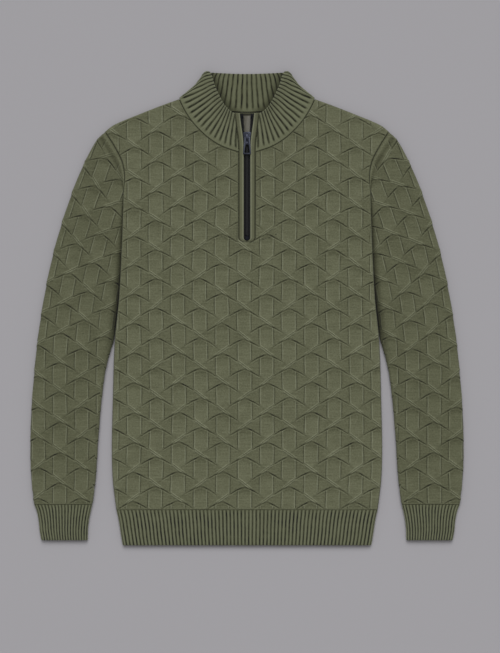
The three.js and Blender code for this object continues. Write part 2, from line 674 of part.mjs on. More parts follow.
// The bridge is an arch in the YZ plane over the pull tab's bar: steep in front, sloping away behind.
const arch = new THREE.Shape();
const archSpan = bridge.backY - bridge.frontY;
const archSunk = -0.2;           // its feet stand in the slider
const archInside = bridge.height - bridge.thickness;
const archFoot = 2.4;            // length of the back foot, and where the inside starts to slope
arch.moveTo(0, archSunk);
arch.lineTo(0, bridge.height - 1.5);
arch.quadraticCurveTo(0, bridge.height, 1.8, bridge.height);
arch.quadraticCurveTo(archSpan * 0.75, bridge.height, archSpan, 0.4);
arch.lineTo(archSpan, archSunk);
arch.lineTo(archSpan - archFoot, archSunk);
arch.quadraticCurveTo(archSpan * 0.7, archInside, archFoot, archInside);
arch.lineTo(bridge.thickness, archInside);
arch.lineTo(bridge.thickness, archSunk);
arch.closePath();
const bridgeArch = manifoldFrom(new THREE.ExtrudeGeometry(arch,
  { depth: 2 * bridge.halfWidth, bevelEnabled: false, curveSegments: 5 })
  .rotateX(Math.PI / 2).rotateZ(Math.PI / 2)
  .translate(-bridge.halfWidth, bridge.frontY, sliderTopZ));
addPiece('zip_slider', geometryFrom(sliderTop.add(sliderPlate).add(wedge).add(bridgeArch)), darkMetal);

const tabZ = sliderTopZ + tab.clearance;
const tabTopY = tab.pivotY + tab.barRadius;
const tabOutline = roundedOutline([
  [-tab.bottomHalf, tab.bottomY], [tab.bottomHalf, tab.bottomY],
  [tab.topHalf, tabTopY], [-tab.topHalf, tabTopY]], 1.4);
tabOutline.holes.push(roundedOutline([
  [-tab.eyeHalf, tab.eyeBottomY], [tab.eyeHalf, tab.eyeBottomY],
  [tab.eyeHalf, tab.pivotY - tab.barRadius], [-tab.eyeHalf, tab.pivotY - tab.barRadius]], 0.5));
tabOutline.holes.push(roundedOutline([
  [tab.rail - tab.bottomHalf, tab.bottomY + tab.rail], [tab.bottomHalf - tab.rail, tab.bottomY + tab.rail],
  [tab.windowTopHalf, tab.windowTopY], [-tab.windowTopHalf, tab.windowTopY]], 0.8));
addPiece('pull_tab', plate(tabOutline, tabZ, tab.thickness), darkMetal);

export default sweater;
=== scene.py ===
import bpy
import bmesh
import math
import numpy as np
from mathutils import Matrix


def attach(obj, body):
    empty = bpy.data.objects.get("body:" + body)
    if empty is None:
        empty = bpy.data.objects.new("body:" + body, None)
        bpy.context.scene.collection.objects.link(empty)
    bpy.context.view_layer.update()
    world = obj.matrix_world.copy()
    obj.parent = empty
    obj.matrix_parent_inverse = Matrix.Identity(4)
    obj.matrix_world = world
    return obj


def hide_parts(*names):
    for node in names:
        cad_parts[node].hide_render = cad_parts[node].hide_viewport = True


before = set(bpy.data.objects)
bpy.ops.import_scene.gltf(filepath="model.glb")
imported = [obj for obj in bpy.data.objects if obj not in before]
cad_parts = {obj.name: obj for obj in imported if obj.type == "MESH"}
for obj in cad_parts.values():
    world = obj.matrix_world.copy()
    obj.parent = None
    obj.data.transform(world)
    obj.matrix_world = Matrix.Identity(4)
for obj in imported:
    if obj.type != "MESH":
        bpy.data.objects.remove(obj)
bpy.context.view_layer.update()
scene = bpy.context.scene
mm = 0.001
print("frame loaded")


# Arithmetic that works on arrays for the meshes and on node sockets for the finishes.
class Field:
    def __init__(self, tree, socket):
        self.tree, self.socket = tree, socket

    def math(self, operation, other=None, swapped=False):
        node = self.tree.nodes.new("ShaderNodeMath")
        node.operation = operation
        first, second = (other, self) if swapped else (self, other)
        for slot, value in enumerate((first, second)):
            if isinstance(value, Field):
                self.tree.links.new(value.socket, node.inputs[slot])
            elif value is not None:
                node.inputs[slot].default_value = value
        return Field(self.tree, node.outputs[0])

    def __add__(self, other):
        return self.math("ADD", other)

    def __sub__(self, other):
        return self.math("SUBTRACT", other)

    def __rsub__(self, other):
        return self.math("SUBTRACT", other, True)

    def __mul__(self, other):
        return self.math("MULTIPLY", other)

    __radd__, __rmul__ = __add__, __mul__


def one(operation, whole, x):     # the same one-value function on an array or on a socket
    return x.math(operation) if isinstance(x, Field) else whole(x)


def size(x):                      # the value without its sign
    return one("ABSOLUTE", np.abs, x)


def nearest(x):                   # the nearest whole number
    return one("ROUND", np.round, x)


def growth(x):                    # e to the power x
    return one("EXPONENT", np.exp, x)


def wave(x):                      # the sine
    return one("SINE", np.sin, x)


def above(x):                     # 1 above zero, and 0 at or below it
    return x.math("GREATER_THAN", 0.0) if isinstance(x, Field) else (x > 0) * 1.0


def soft(low, high, x):           # 0 below low, 1 above high, and t*t*(3 - 2t) between them
    t = (x - low) * (1.0 / (high - low))
    if isinstance(t, Field):
        t = t.math("MINIMUM", 1.0).math("MAXIMUM", 0.0)
    else:
        t = np.clip(t, 0, 1)
    return t * t * (3.0 - 2.0 * t)


def bell(x, width):               # exp(-(x / width) squared)
    t = x * (1.0 / width)
    return growth(t * t * -1.0)

# The relief knit: upright squares woven between strands that cross in a lattice, in mm.
relief = {
    "columnGap": 34.3,            # between columns of squares
    "period": 45.96,              # between squares in a column
    "grooveDrop": 4.2,            # how far the groove stands off a crossing,
    "grooveCurl": 0.105,          # and how fast it closes in on the strand beside it
    "grooveWidth": 0.95,
    "squareHalf": 10.2,
    "squareTop": (-15.8, -12.5),  # between these a square's sides come in, from the diamond's middle
    "armEnd": 24.0,               # where a groove stops beside the next column
    "strandSlope": 0.63,          # radians
    "crestGap": 1.5,              # half the gap between the two crests of an over strand,
    "crestWidth": 0.75,
    "crestEnd": (8.5, 16.0),      # and between these, along the strand, they fade
    "humpWidth": 2.7,
    "lip": 1.15,                  # how high a strand's lip stands
}


# A point's place in its diamond: each diamond is one square with the two triangles beside it.
# With a = x / gap and b = 2y / period, it is a + b and a - b less their nearest even numbers.
def diamond(x, y, shift):
    a = x * (1.0 / relief["columnGap"])
    b = y * (2.0 / relief["period"]) + shift
    m, n = a + b, a - b
    evenM, evenN = nearest(m * 0.5), nearest(n * 0.5)
    dm, dn = m - evenM * 2.0, n - evenN * 2.0
    return (dm + dn) * 0.5, (dm - dn) * 0.5, evenM + evenN, evenM - evenN


# How the knit stands at a point in mm: dark grooves, light crests, the squares, the over strands,
# and a step down from a strand's lip to the diamond under it. The finish uses the dark and light lines
# both as bump and as colour: painted shade in the grooves and beside the squares' sides, and painted
# highlight on the crests and along the squares' sides. Each line is a bell across its own distance,
# faded by soft steps along it.
def reliefParts(x, y):
    sideways, up, _, _ = diamond(x, y, 0.0)
    dx = size(sideways) * relief["columnGap"]
    slant = relief["columnGap"] * math.cos(math.atan2(relief["columnGap"], relief["period"] / 2))
    fromTop = (1.0 - size(sideways) - up) * slant
    inside = fromTop - relief["grooveDrop"] * growth(dx * -relief["grooveCurl"])
    arm = (0.28 + 0.72 * soft(1.5, 9.0, dx)) * (1.0 - soft(relief["armEnd"] - 3, relief["armEnd"] + 2.5, dx))
    side = soft(0.8, 2.6, inside) * soft(*relief["squareTop"], up * (relief["period"] / 2))
    fromSide = dx - relief["squareHalf"]
    square = 1.0 - soft(relief["squareHalf"] - 0.5, relief["squareHalf"] + 0.9, dx)
    vx, vy, column, row = diamond(x, y, 1.0)
    vx, vy = vx * relief["columnGap"], vy * (relief["period"] / 2)
    way = above(wave(column * 1.9 + nearest(row * 0.17) * 2.6 + 0.5)) * 2.0 - 1.0
    sine, cosine = math.sin(relief["strandSlope"]), math.cos(relief["strandSlope"])
    across = vy * cosine + way * vx * sine
    along = size(vx * cosine - way * vy * sine)
    upper = bell(across - relief["crestGap"], relief["crestWidth"])
    lower = bell(across + relief["crestGap"], relief["crestWidth"])
    crest = (upper + lower) * (1.0 - soft(*relief["crestEnd"], along))
    return {
        "dark": bell(inside, relief["grooveWidth"]) * arm + 0.5 * bell(fromSide - 1.3, 0.7) * side,
        "light": 0.6 * bell(inside - 2.1, 0.8) * arm + 1.25 * bell(fromSide + 0.4, 0.85) * side
        + 1.25 * crest + 0.5 * bell(fromTop - 0.6, 0.9) * arm,
        "square": square, "inside": inside, "up": up,
        "hump": bell(across, relief["humpWidth"]) * (1.0 - soft(9.0, 16.0, along)),
    }


# The broad form in mm: strand lips on top, diamonds rising from 0.2 at the top to 1 at the bottom.
def reliefHeight(x, y):
    part = reliefParts(x, y)
    under = soft(-1.7, 1.7, part["inside"])
    diamondHeight = 0.2 + 0.4 * (1.0 - part["up"]) + 0.35 * part["square"]
    return relief["lip"] * (1.0 - under) + diamondHeight * under + 0.5 * part["hump"]


# Points of a centripetal Catmull-Rom curve through the rows, evenly spaced along its length.
def smoothCurve(rows):
    p = np.array(rows, float)
    p = np.vstack([2 * p[0] - p[1], p, 2 * p[-1] - p[-2]])
    knot = np.concatenate([[0], np.cumsum(np.linalg.norm(np.diff(p, axis=0), axis=1) ** 0.5)])
    span = np.repeat(np.arange(1, len(p) - 2), 60)
    share = np.tile(np.arange(60) / 60.0, len(p) - 3)
    span, share = np.append(span, len(p) - 3), np.append(share, 1.0)
    t = knot[span] + share * (knot[span + 1] - knot[span])

    def between(a, b, ta, tb):
        return a * ((tb - t) / (tb - ta))[:, None] + b * ((t - ta) / (tb - ta))[:, None]

    k = [knot[span + i - 1] for i in range(4)]
    q = [p[span + i - 1] for i in range(4)]
    a1, a2, a3 = (between(q[i], q[i + 1], k[i], k[i + 1]) for i in range(3))
    line = between(between(a1, a2, k[0], k[2]), between(a2, a3, k[1], k[3]), k[1], k[2])
    length = np.concatenate([[0], np.cumsum(np.linalg.norm(np.diff(line, axis=0), axis=1))])
    length /= length[-1]
    return lambda s: np.stack([np.interp(s, length, line[:, 0]), np.interp(s, length, line[:, 1])], -1)


# A path of several curves, one after another, each over its own share of 0 to 1.
def joined(pieces, shares):
    ends = np.cumsum([0.0] + list(shares))

    def at(s):
        s = np.asarray(s, float)
        out = pieces[0](np.clip(s / ends[1], 0, 1))
        for i in range(1, len(pieces)):
            local = np.clip((s - ends[i]) / (ends[i + 1] - ends[i]), 0, 1)
            out = np.where((s >= ends[i])[..., None], pieces[i](local), out)
        return out
    return at


def straight(a, b):               # the point a share s of the way from a to b
    a, b = np.array(a, float), np.array(b, float)
    return lambda s: a + (b - a) * np.asarray(s, float)[..., None]


# A Coons patch: the two ruled surfaces between opposite edges added, less the one between the corners.
def patch(bottom, top, left, right):
    def at(u, v):
        s, t = u[..., None], v[..., None]
        c = [edge(np.array(end)) for edge in (bottom, top) for end in (0.0, 1.0)]
        return (left(v) * (1 - s) + right(v) * s + bottom(u) * (1 - t) + top(u) * t
                - c[0] * (1 - s) * (1 - t) - c[1] * s * (1 - t) - c[2] * (1 - s) * t - c[3] * s * t)
    return at


# How far a rounded edge has dropped at a distance inside it: r - sqrt(r*r - (r - d) squared).
def edgeDrop(distance, radius):
    inside = np.clip(distance, 0, radius)
    return radius - np.sqrt(radius ** 2 - (radius - inside) ** 2)


# Stations from 0 to 1 over a length in mm, close together near both ends.
def stations(count, length, fine=(0.35, 0.9, 1.7, 2.7)):
    ends = np.array(fine) / length
    middle = np.linspace(ends[-1], 1 - ends[-1], count - 2 * len(fine) + 1)
    return np.concatenate([[0], ends[:-1], middle, 1 - ends[-2::-1], [1]])


# Faces between neighbouring points of a grid whose first point has the given number.
def gridFaces(rows, columns, start):
    i = start + np.arange(rows * columns).reshape(rows, columns)
    return np.stack([i[:-1, :-1], i[:-1, 1:], i[1:, 1:], i[1:, :-1]], -1).reshape(-1, 4)


# A cloth wall: a fine outer grid and an inner one with every step-th row and column, joined by rims.
def shell(outer, inner, uv, shade, step, wrapped=False, joinedRows=0):
    rows, columns = outer.shape[:2]
    innerRows, innerColumns = inner.shape[:2]
    start = rows * columns
    fine = np.arange(start).reshape(rows, columns)
    coarse = start + np.arange(innerRows * innerColumns).reshape(innerRows, innerColumns)
    faces = gridFaces(rows, columns, 0).tolist() + gridFaces(innerRows, innerColumns, start)[:, ::-1].tolist()

    def rim(line, innerLine, first=0):
        k = np.arange(first, len(innerLine) - 1)
        run = np.stack([line[k * step + i] for i in range(step + 1)], -1)
        return np.concatenate([run, innerLine[k + 1][:, None], innerLine[k][:, None]], -1).tolist()

    faces += rim(fine[0], coarse[0]) + rim(fine[-1], coarse[-1])
    if not wrapped:
        faces += rim(fine[:, 0], coarse[:, 0], joinedRows // step) + rim(fine[:, -1], coarse[:, -1])
    points = np.concatenate([outer.reshape(-1, 3), inner.reshape(-1, 3)])
    uvAll = np.concatenate([uv.reshape(-1, 2), uv[::step, ::step].reshape(-1, 2)])
    shadeAll = np.concatenate([shade.reshape(-1, 2), shade[::step, ::step].reshape(-1, 2)])
    return points, faces, uvAll, shadeAll


# A bar lofted through closed rings of points, with its ends closed.
def bar(rings, uv, shade):
    count, around = rings.shape[:2]
    i = np.arange(count * around).reshape(count, around)
    nxt = np.roll(i, -1, 1)
    faces = np.stack([i[:-1], nxt[:-1], nxt[1:], i[1:]], -1).reshape(-1, 4).tolist()
    ends = [i[0].tolist(), i[-1][::-1].tolist()]
    marks = np.stack([shade, 0 * shade], -1).reshape(-1, 2)
    return rings.reshape(-1, 3), faces + ends, uv.reshape(-1, 2), marks


# The same part on the other side: x turned over, and each face's order with it.
def turnedOver(part, uvWay=1):
    points, faces, uv, shade = part
    return points * [-1, 1, 1], [face[::-1] for face in faces], uv * [uvWay, 1], shade


# Several parts as one: points one after another, with each face's numbers moved on past those before it.
def together(*parts):
    total, faces = 0, []
    for part in parts:
        faces += [[i + total for i in face] for face in part[1]]
        total += len(part[0])
    return tuple(np.concatenate([part[i] for part in parts]) if i != 1 else faces for i in range(4))


mergeGap = 0.004                  # mm within which a piece's points are one


# One object from points in mm, with its cloth map in metres, and its painted shade and highlight and how
# far its knit is plain as attributes.
def makePiece(name, part, material, replaced):
    points, faces, uv, shade = part
    mesh = bpy.data.meshes.new(name)
    mesh.from_pydata((points * mm).tolist(), [], faces)
    corner = np.zeros(len(mesh.loops), np.int32)
    mesh.loops.foreach_get("vertex_index", corner)
    mesh.uv_layers.new(name="clothMap").data.foreach_set("uv", (uv[corner] * mm).astype(np.float32).ravel())
    for i, layer in enumerate(("shade", "plain")):    # how dark a point is, and how far its knit is plain
        values = np.ascontiguousarray(shade[:, i], np.float32)
        mesh.attributes.new(layer, "FLOAT", "POINT").data.foreach_set("value", values)
    work = bmesh.new()
    work.from_mesh(mesh)
    bmesh.ops.remove_doubles(work, verts=work.verts, dist=mergeGap * mm)
    bmesh.ops.recalc_face_normals(work, faces=work.faces)
    work.to_mesh(mesh)
    work.free()
    mesh.shade_smooth()
    mesh.materials.append(material)
    piece = bpy.data.objects.new(name, mesh)
    scene.collection.objects.link(piece)
    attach(piece, "garment")
    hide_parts(replaced)
    print("made", name, len(mesh.polygons), "faces")
    return piece


def linear(r, g, b):              # an sRGB colour of 0 to 255 as the linear one that the shader takes
    c = np.array([r, g, b]) / 255.0
    return tuple(np.where(c <= 0.04045, c / 12.92, ((c + 0.055) / 1.055) ** 2.4)) + (1.0,)


# A plain shader whose even roughness, metal and sheen are set on its own sockets.
def newMaterial(name, roughness, metallic=0.0, sheen=0.0):
    material = bpy.data.materials.new(name)
    material.use_nodes = True
    tree = material.node_tree
    shader = tree.nodes["Principled BSDF"]
    shader.inputs["Roughness"].default_value = roughness
    shader.inputs["Metallic"].default_value = metallic
    if sheen:
        shader.inputs["Sheen Weight"].default_value = sheen
        shader.inputs["Sheen Roughness"].default_value = 0.5
        shader.inputs["Sheen Tint"].default_value = (0.9, 0.92, 0.82, 1)
    return material, tree, shader


def clothPlace(tree):             # a point's place on the cloth, in mm
    source = tree.nodes.new("ShaderNodeUVMap")
    source.uv_map = "clothMap"
    split = tree.nodes.new("ShaderNodeSeparateXYZ")
    tree.links.new(source.outputs[0], split.inputs[0])
    return Field(tree, split.outputs[0]) * 1000.0, Field(tree, split.outputs[1]) * 1000.0


# Noise of a scale in turns a metre on Object coordinates, stretched along each axis, about -0.5 to 0.5.
def noiseField(tree, scale, detail=2.0, stretch=(1, 1, 1)):
    place = tree.nodes.new("ShaderNodeTexCoord")
    turn = tree.nodes.new("ShaderNodeMapping")
    turn.inputs["Scale"].default_value = stretch
    noise = tree.nodes.new("ShaderNodeTexNoise")
    noise.inputs["Scale"].default_value = scale
    noise.inputs["Detail"].default_value = detail
    tree.links.new(place.outputs["Object"], turn.inputs[0])
    tree.links.new(turn.outputs[0], noise.inputs["Vector"])
    return Field(tree, noise.outputs[0]) - 0.5


def layerField(tree, layer):      # a value from the mesh's own attribute
    node = tree.nodes.new("ShaderNodeAttribute")
    node.attribute_name = layer
    return Field(tree, node.outputs["Fac"])


# The colour is the given one times tone, less the painted shade that the mesh carries as its shade
# attribute, and lighter where that is below zero, a painted highlight. Its blue falls a little faster in
# the dark: tone to the power 1.2. The height in mm goes to a bump.
def finishCloth(tree, shader, colour, tone, height):
    tone = tone * (1.0 - layerField(tree, "shade"))
    deep = tone.math("MAXIMUM", 0.001).math("POWER", 1.2)
    tint = tree.nodes.new("ShaderNodeCombineXYZ")
    for i, share in enumerate((tone, tone, deep)):
        tree.links.new((share * colour[i]).socket, tint.inputs[i])
    tree.links.new(tint.outputs[0], shader.inputs["Base Color"])
    bump = tree.nodes.new("ShaderNodeBump")
    bump.inputs["Strength"].default_value = 1.0
    bump.inputs["Distance"].default_value = mm
    tree.links.new(height.socket, bump.inputs["Height"])
    tree.links.new(bump.outputs[0], shader.inputs["Normal"])


# Knit stitches as legs that lean in pairs: a wave along y, pushed up and down by a triangle wave in x.
def stitches(x, y, wide, tall):
    lean = size(wave(x * (math.pi / wide)))
    return wave(y * (2 * math.pi / tall) + lean * 1.6) * 0.5 + lean * 0.5


knit = {
    "colour": (101, 103, 78), "ribColour": (107, 110, 84), "roughness": 0.95, "sheen": 0.12,
    "tone": 0.955,
    # groove is the painted shade in the grooves and crest the painted highlight on the crests; squareShadow
    # is painted shade under each square's top, and fall painted shade that deepens towards each diamond's
    # top, under the lip above it.
    "groove": 0.82, "crest": 0.6,                     # how dark the grooves are, and how light the crests
    "squareLight": 0.09, "squareShadow": 0.22, "fall": 0.07,
    "stitchWide": 1.9, "stitchTall": 2.2, "stitch": 0.07, "fuzz": 0.2, "patchy": 0.4, "rows": 0.5,
    "wobble": 3.0,                                    # mm that a strand's edge strays
}


# The relief on the cloth map: its light and dark lines, each uneven along itself, over stitches, fuzz
# and rows of thicker yarn. The dark lines, the top of each square and the top of each diamond carry
# painted shade, the light lines painted highlight, and the squares are a little lighter; the lines are a
# bump as well. Where the cloth is plain, as at a seam, the lines fade out.
def reliefMaterial():
    material, tree, shader = newMaterial("reliefKnit", knit["roughness"], sheen=knit["sheen"])
    x, y = clothPlace(tree)
    wobble = knit["wobble"]
    part = reliefParts(x + noiseField(tree, 28.0) * wobble, y + noiseField(tree, 33.0) * wobble)
    stitch = stitches(x, y, knit["stitchWide"], knit["stitchTall"])
    fuzz, patchy = noiseField(tree, 1300.0), noiseField(tree, 45.0, 4.0)
    rows = noiseField(tree, 170.0, 2.0, (0.25, 3.0, 1.0)) + noiseField(tree, 420.0, 2.0) * 1.7
    topShade = bell(part["inside"] - 3.0, 3.5) * part["square"]
    knitted = 1.0 - layerField(tree, "plain")
    uneven = (1.0 + noiseField(tree, 70.0, 3.0) * 1.6) * knitted
    # Painted highlight on the crests; painted shade in the grooves, under each square's top and under each
    # lip.
    tone = (knit["tone"] + part["light"] * uneven * knit["crest"] - part["dark"] * uneven * knit["groove"]
            + part["square"] * knit["squareLight"] * knitted - topShade * knit["squareShadow"] * knitted
            - knit["fall"] * part["up"] + stitch * knit["stitch"] + fuzz * knit["fuzz"]
            + patchy * knit["patchy"] + rows * knit["rows"])
    height = (part["light"] * 0.7 - part["dark"] * 1.1) * knitted + stitch * 0.18 + fuzz * 0.25 + rows * 0.3
    finishCloth(tree, shader, linear(*knit["colour"]), tone, height)
    return material


# Ribs run along y on the cloth map, one to each pitch of x, crest at whole pitches: a cosine, with the
# groove a soft step of it past grooveFrom. The crests carry painted highlight and the grooves painted
# shade, and the grooves are a dent in the bump as well.
def ribMaterial(name, pitch, grooveFrom, bright):
    material, tree, shader = newMaterial(name, knit["roughness"], sheen=knit["sheen"])
    x, y = clothPlace(tree)
    crest = wave((x + noiseField(tree, 55.0) * 1.4) * (2 * math.pi / pitch) + math.pi / 2)
    ribbed = 1.0 - layerField(tree, "plain")
    groove = soft(grooveFrom, 0.98, crest * -1.0) * ribbed * (1.0 + noiseField(tree, 90.0) * 1.2)
    stitch = stitches(x, y, pitch / 2, 1.9)
    fuzz, patchy = noiseField(tree, 1500.0), noiseField(tree, 60.0, 3.0)
    tone = (bright + soft(-0.2, 1.0, crest) * ribbed * 0.14 - groove * 0.86 + stitch * 0.09 + fuzz * 0.22
            + patchy * 0.3)
    finishCloth(tree, shader, linear(*knit["ribColour"]), tone, stitch * 0.22 + fuzz * 0.25 - groove * 0.5)
    return material


def plainKnitMaterial():          # stitches, fuzz and slow patches only, for the placket bands
    material, tree, shader = newMaterial("plainKnit", knit["roughness"], sheen=knit["sheen"])
    x, y = clothPlace(tree)
    stitch = stitches(x, y, 1.5, 1.8)
    fuzz, patchy = noiseField(tree, 1500.0), noiseField(tree, 60.0, 3.0)
    tone = 0.95 + stitch * 0.1 + fuzz * 0.16 + patchy * 0.14
    finishCloth(tree, shader, linear(*knit["colour"]), tone, stitch * 0.22 + fuzz * 0.25)
    return material


# Plain weave on Object coordinates: two crossed waves, warp and weft, over and under in turn. It is
# lighter towards +x, and darker past darkFrom mm along y, where the collar shades it.
def wovenMaterial(name, colour, pitch, roughness, darkFrom):
    material, tree, shader = newMaterial(name, roughness, sheen=0.05)
    place = tree.nodes.new("ShaderNodeTexCoord")
    split = tree.nodes.new("ShaderNodeSeparateXYZ")
    tree.links.new(place.outputs["Object"], split.inputs[0])
    x, y = (Field(tree, split.outputs[i]) * 1000.0 for i in (0, 1))
    weave = wave(x * (math.pi / pitch)) * wave(y * (math.pi / pitch))
    fuzz, streak = noiseField(tree, 2500.0), noiseField(tree, 330.0, 2.0, (1.6, 0.25, 1.0))
    shadow = soft(darkFrom, darkFrom + 2.5, y)
    lightSide = soft(-4.0, 3.0, x) * 0.5
    tone = (0.8 + lightSide + weave * 0.14 + fuzz * 0.2 + streak * 0.6) * (1.0 - shadow * 0.85)
    finishCloth(tree, shader, linear(*colour), tone, weave * 0.12 + fuzz * 0.08)
    return material


# Nylon or metal: slow scuffs and fine grain in its colour, and the scuffs in its roughness too.
def hardMaterial(name, colour, roughness, metallic):
    material, tree, shader = newMaterial(name, roughness, metallic)
    scuff, grain = noiseField(tree, 220.0, 3.0), noiseField(tree, 1800.0)
    finishCloth(tree, shader, linear(*colour), 1.0 + scuff * 0.16 + grain * 0.06, grain * 0.002)
    rough = (scuff * 0.2 + roughness).math("MAXIMUM", 0.05)
    tree.links.new(rough.socket, shader.inputs["Roughness"])
    return material


neverDark = 400.0                 # mm along y, past the garment's end
reliefCloth = reliefMaterial()
hemPitch, cuffPitch, collarPitch = 5.7, 5.1, 5.0      # mm between ribs
hemCloth = ribMaterial("hemRibKnit", hemPitch, -0.05, 1.0)
cuffCloth = ribMaterial("cuffRibKnit", cuffPitch, -0.1, 1.0)
collarCloth = ribMaterial("collarRibKnit", collarPitch, 0.1, 1.06)
plainCloth = plainKnitMaterial()
tapeCloth = wovenMaterial("zipTapeWeave", (13, 14, 17), 0.9, 0.85, neverDark)
labelWeave = wovenMaterial("labelWeave", (109, 107, 96), 0.7, 0.9, 297.0)
coilNylon = hardMaterial("coilNylon", (11, 12, 15), 0.6, 0.0)
zipMetal = hardMaterial("zipMetal", (66, 69, 80), 0.42, 1.0)
stopMetal = hardMaterial("zipStopMetal", (38, 40, 46), 0.45, 1.0)
print("finishes made")


# Soft folds as straight lines in mm: from, to, half width, height.
folds = {
    "front": [
        ((-178, 150), (-120, 60), 16, -0.7), ((176, 156), (126, 70), 15, -0.7),
        ((-60, -120), (40, -210), 26, 0.5), ((70, 40), (150, -60), 24, 0.5),
        ((-150, -40), (-95, -150), 22, -0.5), ((120, -180), (175, -260), 20, -0.5),
        ((-40, 90), (-10, 40), 18, 0.4), ((-130, 240), (-90, 200), 14, -0.4),
    ],
    "back": [
        ((-150, 120), (-80, 20), 20, 0.4), ((60, 60), (140, -40), 24, 0.4),
        ((-90, -150), (30, -230), 26, 0.4),
    ],
    "sleeve": [
        ((222, 236), (231, 216), 4, -1.0), ((231, 262), (240, 240), 5, -0.7),
        ((226, 90), (262, 54), 11, -0.8), ((232, 10), (280, -26), 12, -0.7),
        ((240, -60), (300, -70), 13, 0.6), ((262, -170), (318, -196), 13, -0.6),
        ((238, 150), (268, 128), 9, 0.6), ((250, -250), (300, -262), 11, 0.5),
    ],
}


# Each fold adds height * exp(-(distance to its line / half width) squared).
def foldHeight(points, lines):
    total = np.zeros(points.shape[:-1])
    for a, b, width, height in lines:
        a, b = np.array(a, float), np.array(b, float)
        t = np.clip(((points[..., :2] - a) @ (b - a)) / ((b - a) @ (b - a)), 0, 1)
        away = np.linalg.norm(points[..., :2] - a - t[..., None] * (b - a), axis=-1)
        total += height * np.exp(-(away / width) ** 2)
    return total


# A hand-knit wander of the lattice: three slow sine waves, about 1.5 mm in all.
def wander(x, y):
    dx = 0.9 * np.sin(y / 61 + 0.7) + 0.6 * np.sin(x / 43 + y / 97 + 2.1)
    dy = 0.8 * np.sin(x / 37 + 1.3) + 0.7 * np.sin(x / 91 - y / 53 + 0.4)
    return x + dx, y + dy


# The front and back panels, in mm.
body = {
    "hemSeamY": -311.4, "neck": (105.4, 323.8), "thickness": 7.0, "wall": 3.0, "foldRadius": 3.4,
    "frontInnerZ": 4.0,           # the front wall's inner face
    "columns": 125, "rows": 360, "backColumns": 100, "backRows": 285, "step": 5,
    "across": 210, "along": 600, "topEdge": 250,      # about how long a half panel's edges are
    "seamRound": 1.6, "hemRound": 0.9, "slitRound": 1.5, "innerInset": 2.6,
    "reliefFade": 3.2,            # how far from an edge the relief has come up in full
    "reliefBase": 0.8,            # how high it stands on average
    "seamShade": 0.45,
    "side": [(202.3, -311.4), (207.7, -265.8), (209.2, -219.3), (207.7, -141.8), (204.6, -48.8),
             (198.4, 13.2), (194.4, 86), (192.2, 144.9), (191.5, 179)],
    "armhole": [(191.5, 179), (189.6, 196), (190, 212), (193.5, 228), (204, 249), (219.5, 273.6)],
    "shoulder": [(105.4, 323.8), (128.7, 315.4), (164.3, 301.5), (207.7, 282.9), (219.5, 273.6)],
    "neckline": [(12.9, 241.7), (38.3, 250.6), (56.9, 261.6), (73.5, 276.1), (88, 292.8), (99.5, 311.4),
                 (105.4, 323.8)],
    "backNeckY": 303.5, "zipEndY": 109.6, "slitHalf": 12.7, "slitDeep": 7.3,
    "patternX": -3.6, "patternY": -18.6,
    "sag": 4.0,                   # how far the lattice drops towards the armholes
}
armhole = smoothCurve(body["armhole"])
bodySide = smoothCurve(body["side"])
shoulder = smoothCurve(body["shoulder"])
frontNeck = smoothCurve(body["neckline"])


def backNeck(t):                  # x = 105.4 t, y rises as t to the power 2.4
    t = np.asarray(t, float)
    rise = (body["neck"][1] - body["backNeckY"]) * t ** 2.4
    return np.stack([body["neck"][0] * t, body["backNeckY"] + rise], -1)


def slitRound(t):                 # a quarter oval round the zip's end, from the centre line out
    t = np.asarray(t, float) * math.pi / 2
    return np.stack([body["slitHalf"] * np.sin(t), body["zipEndY"] - body["slitDeep"] * np.cos(t)], -1)


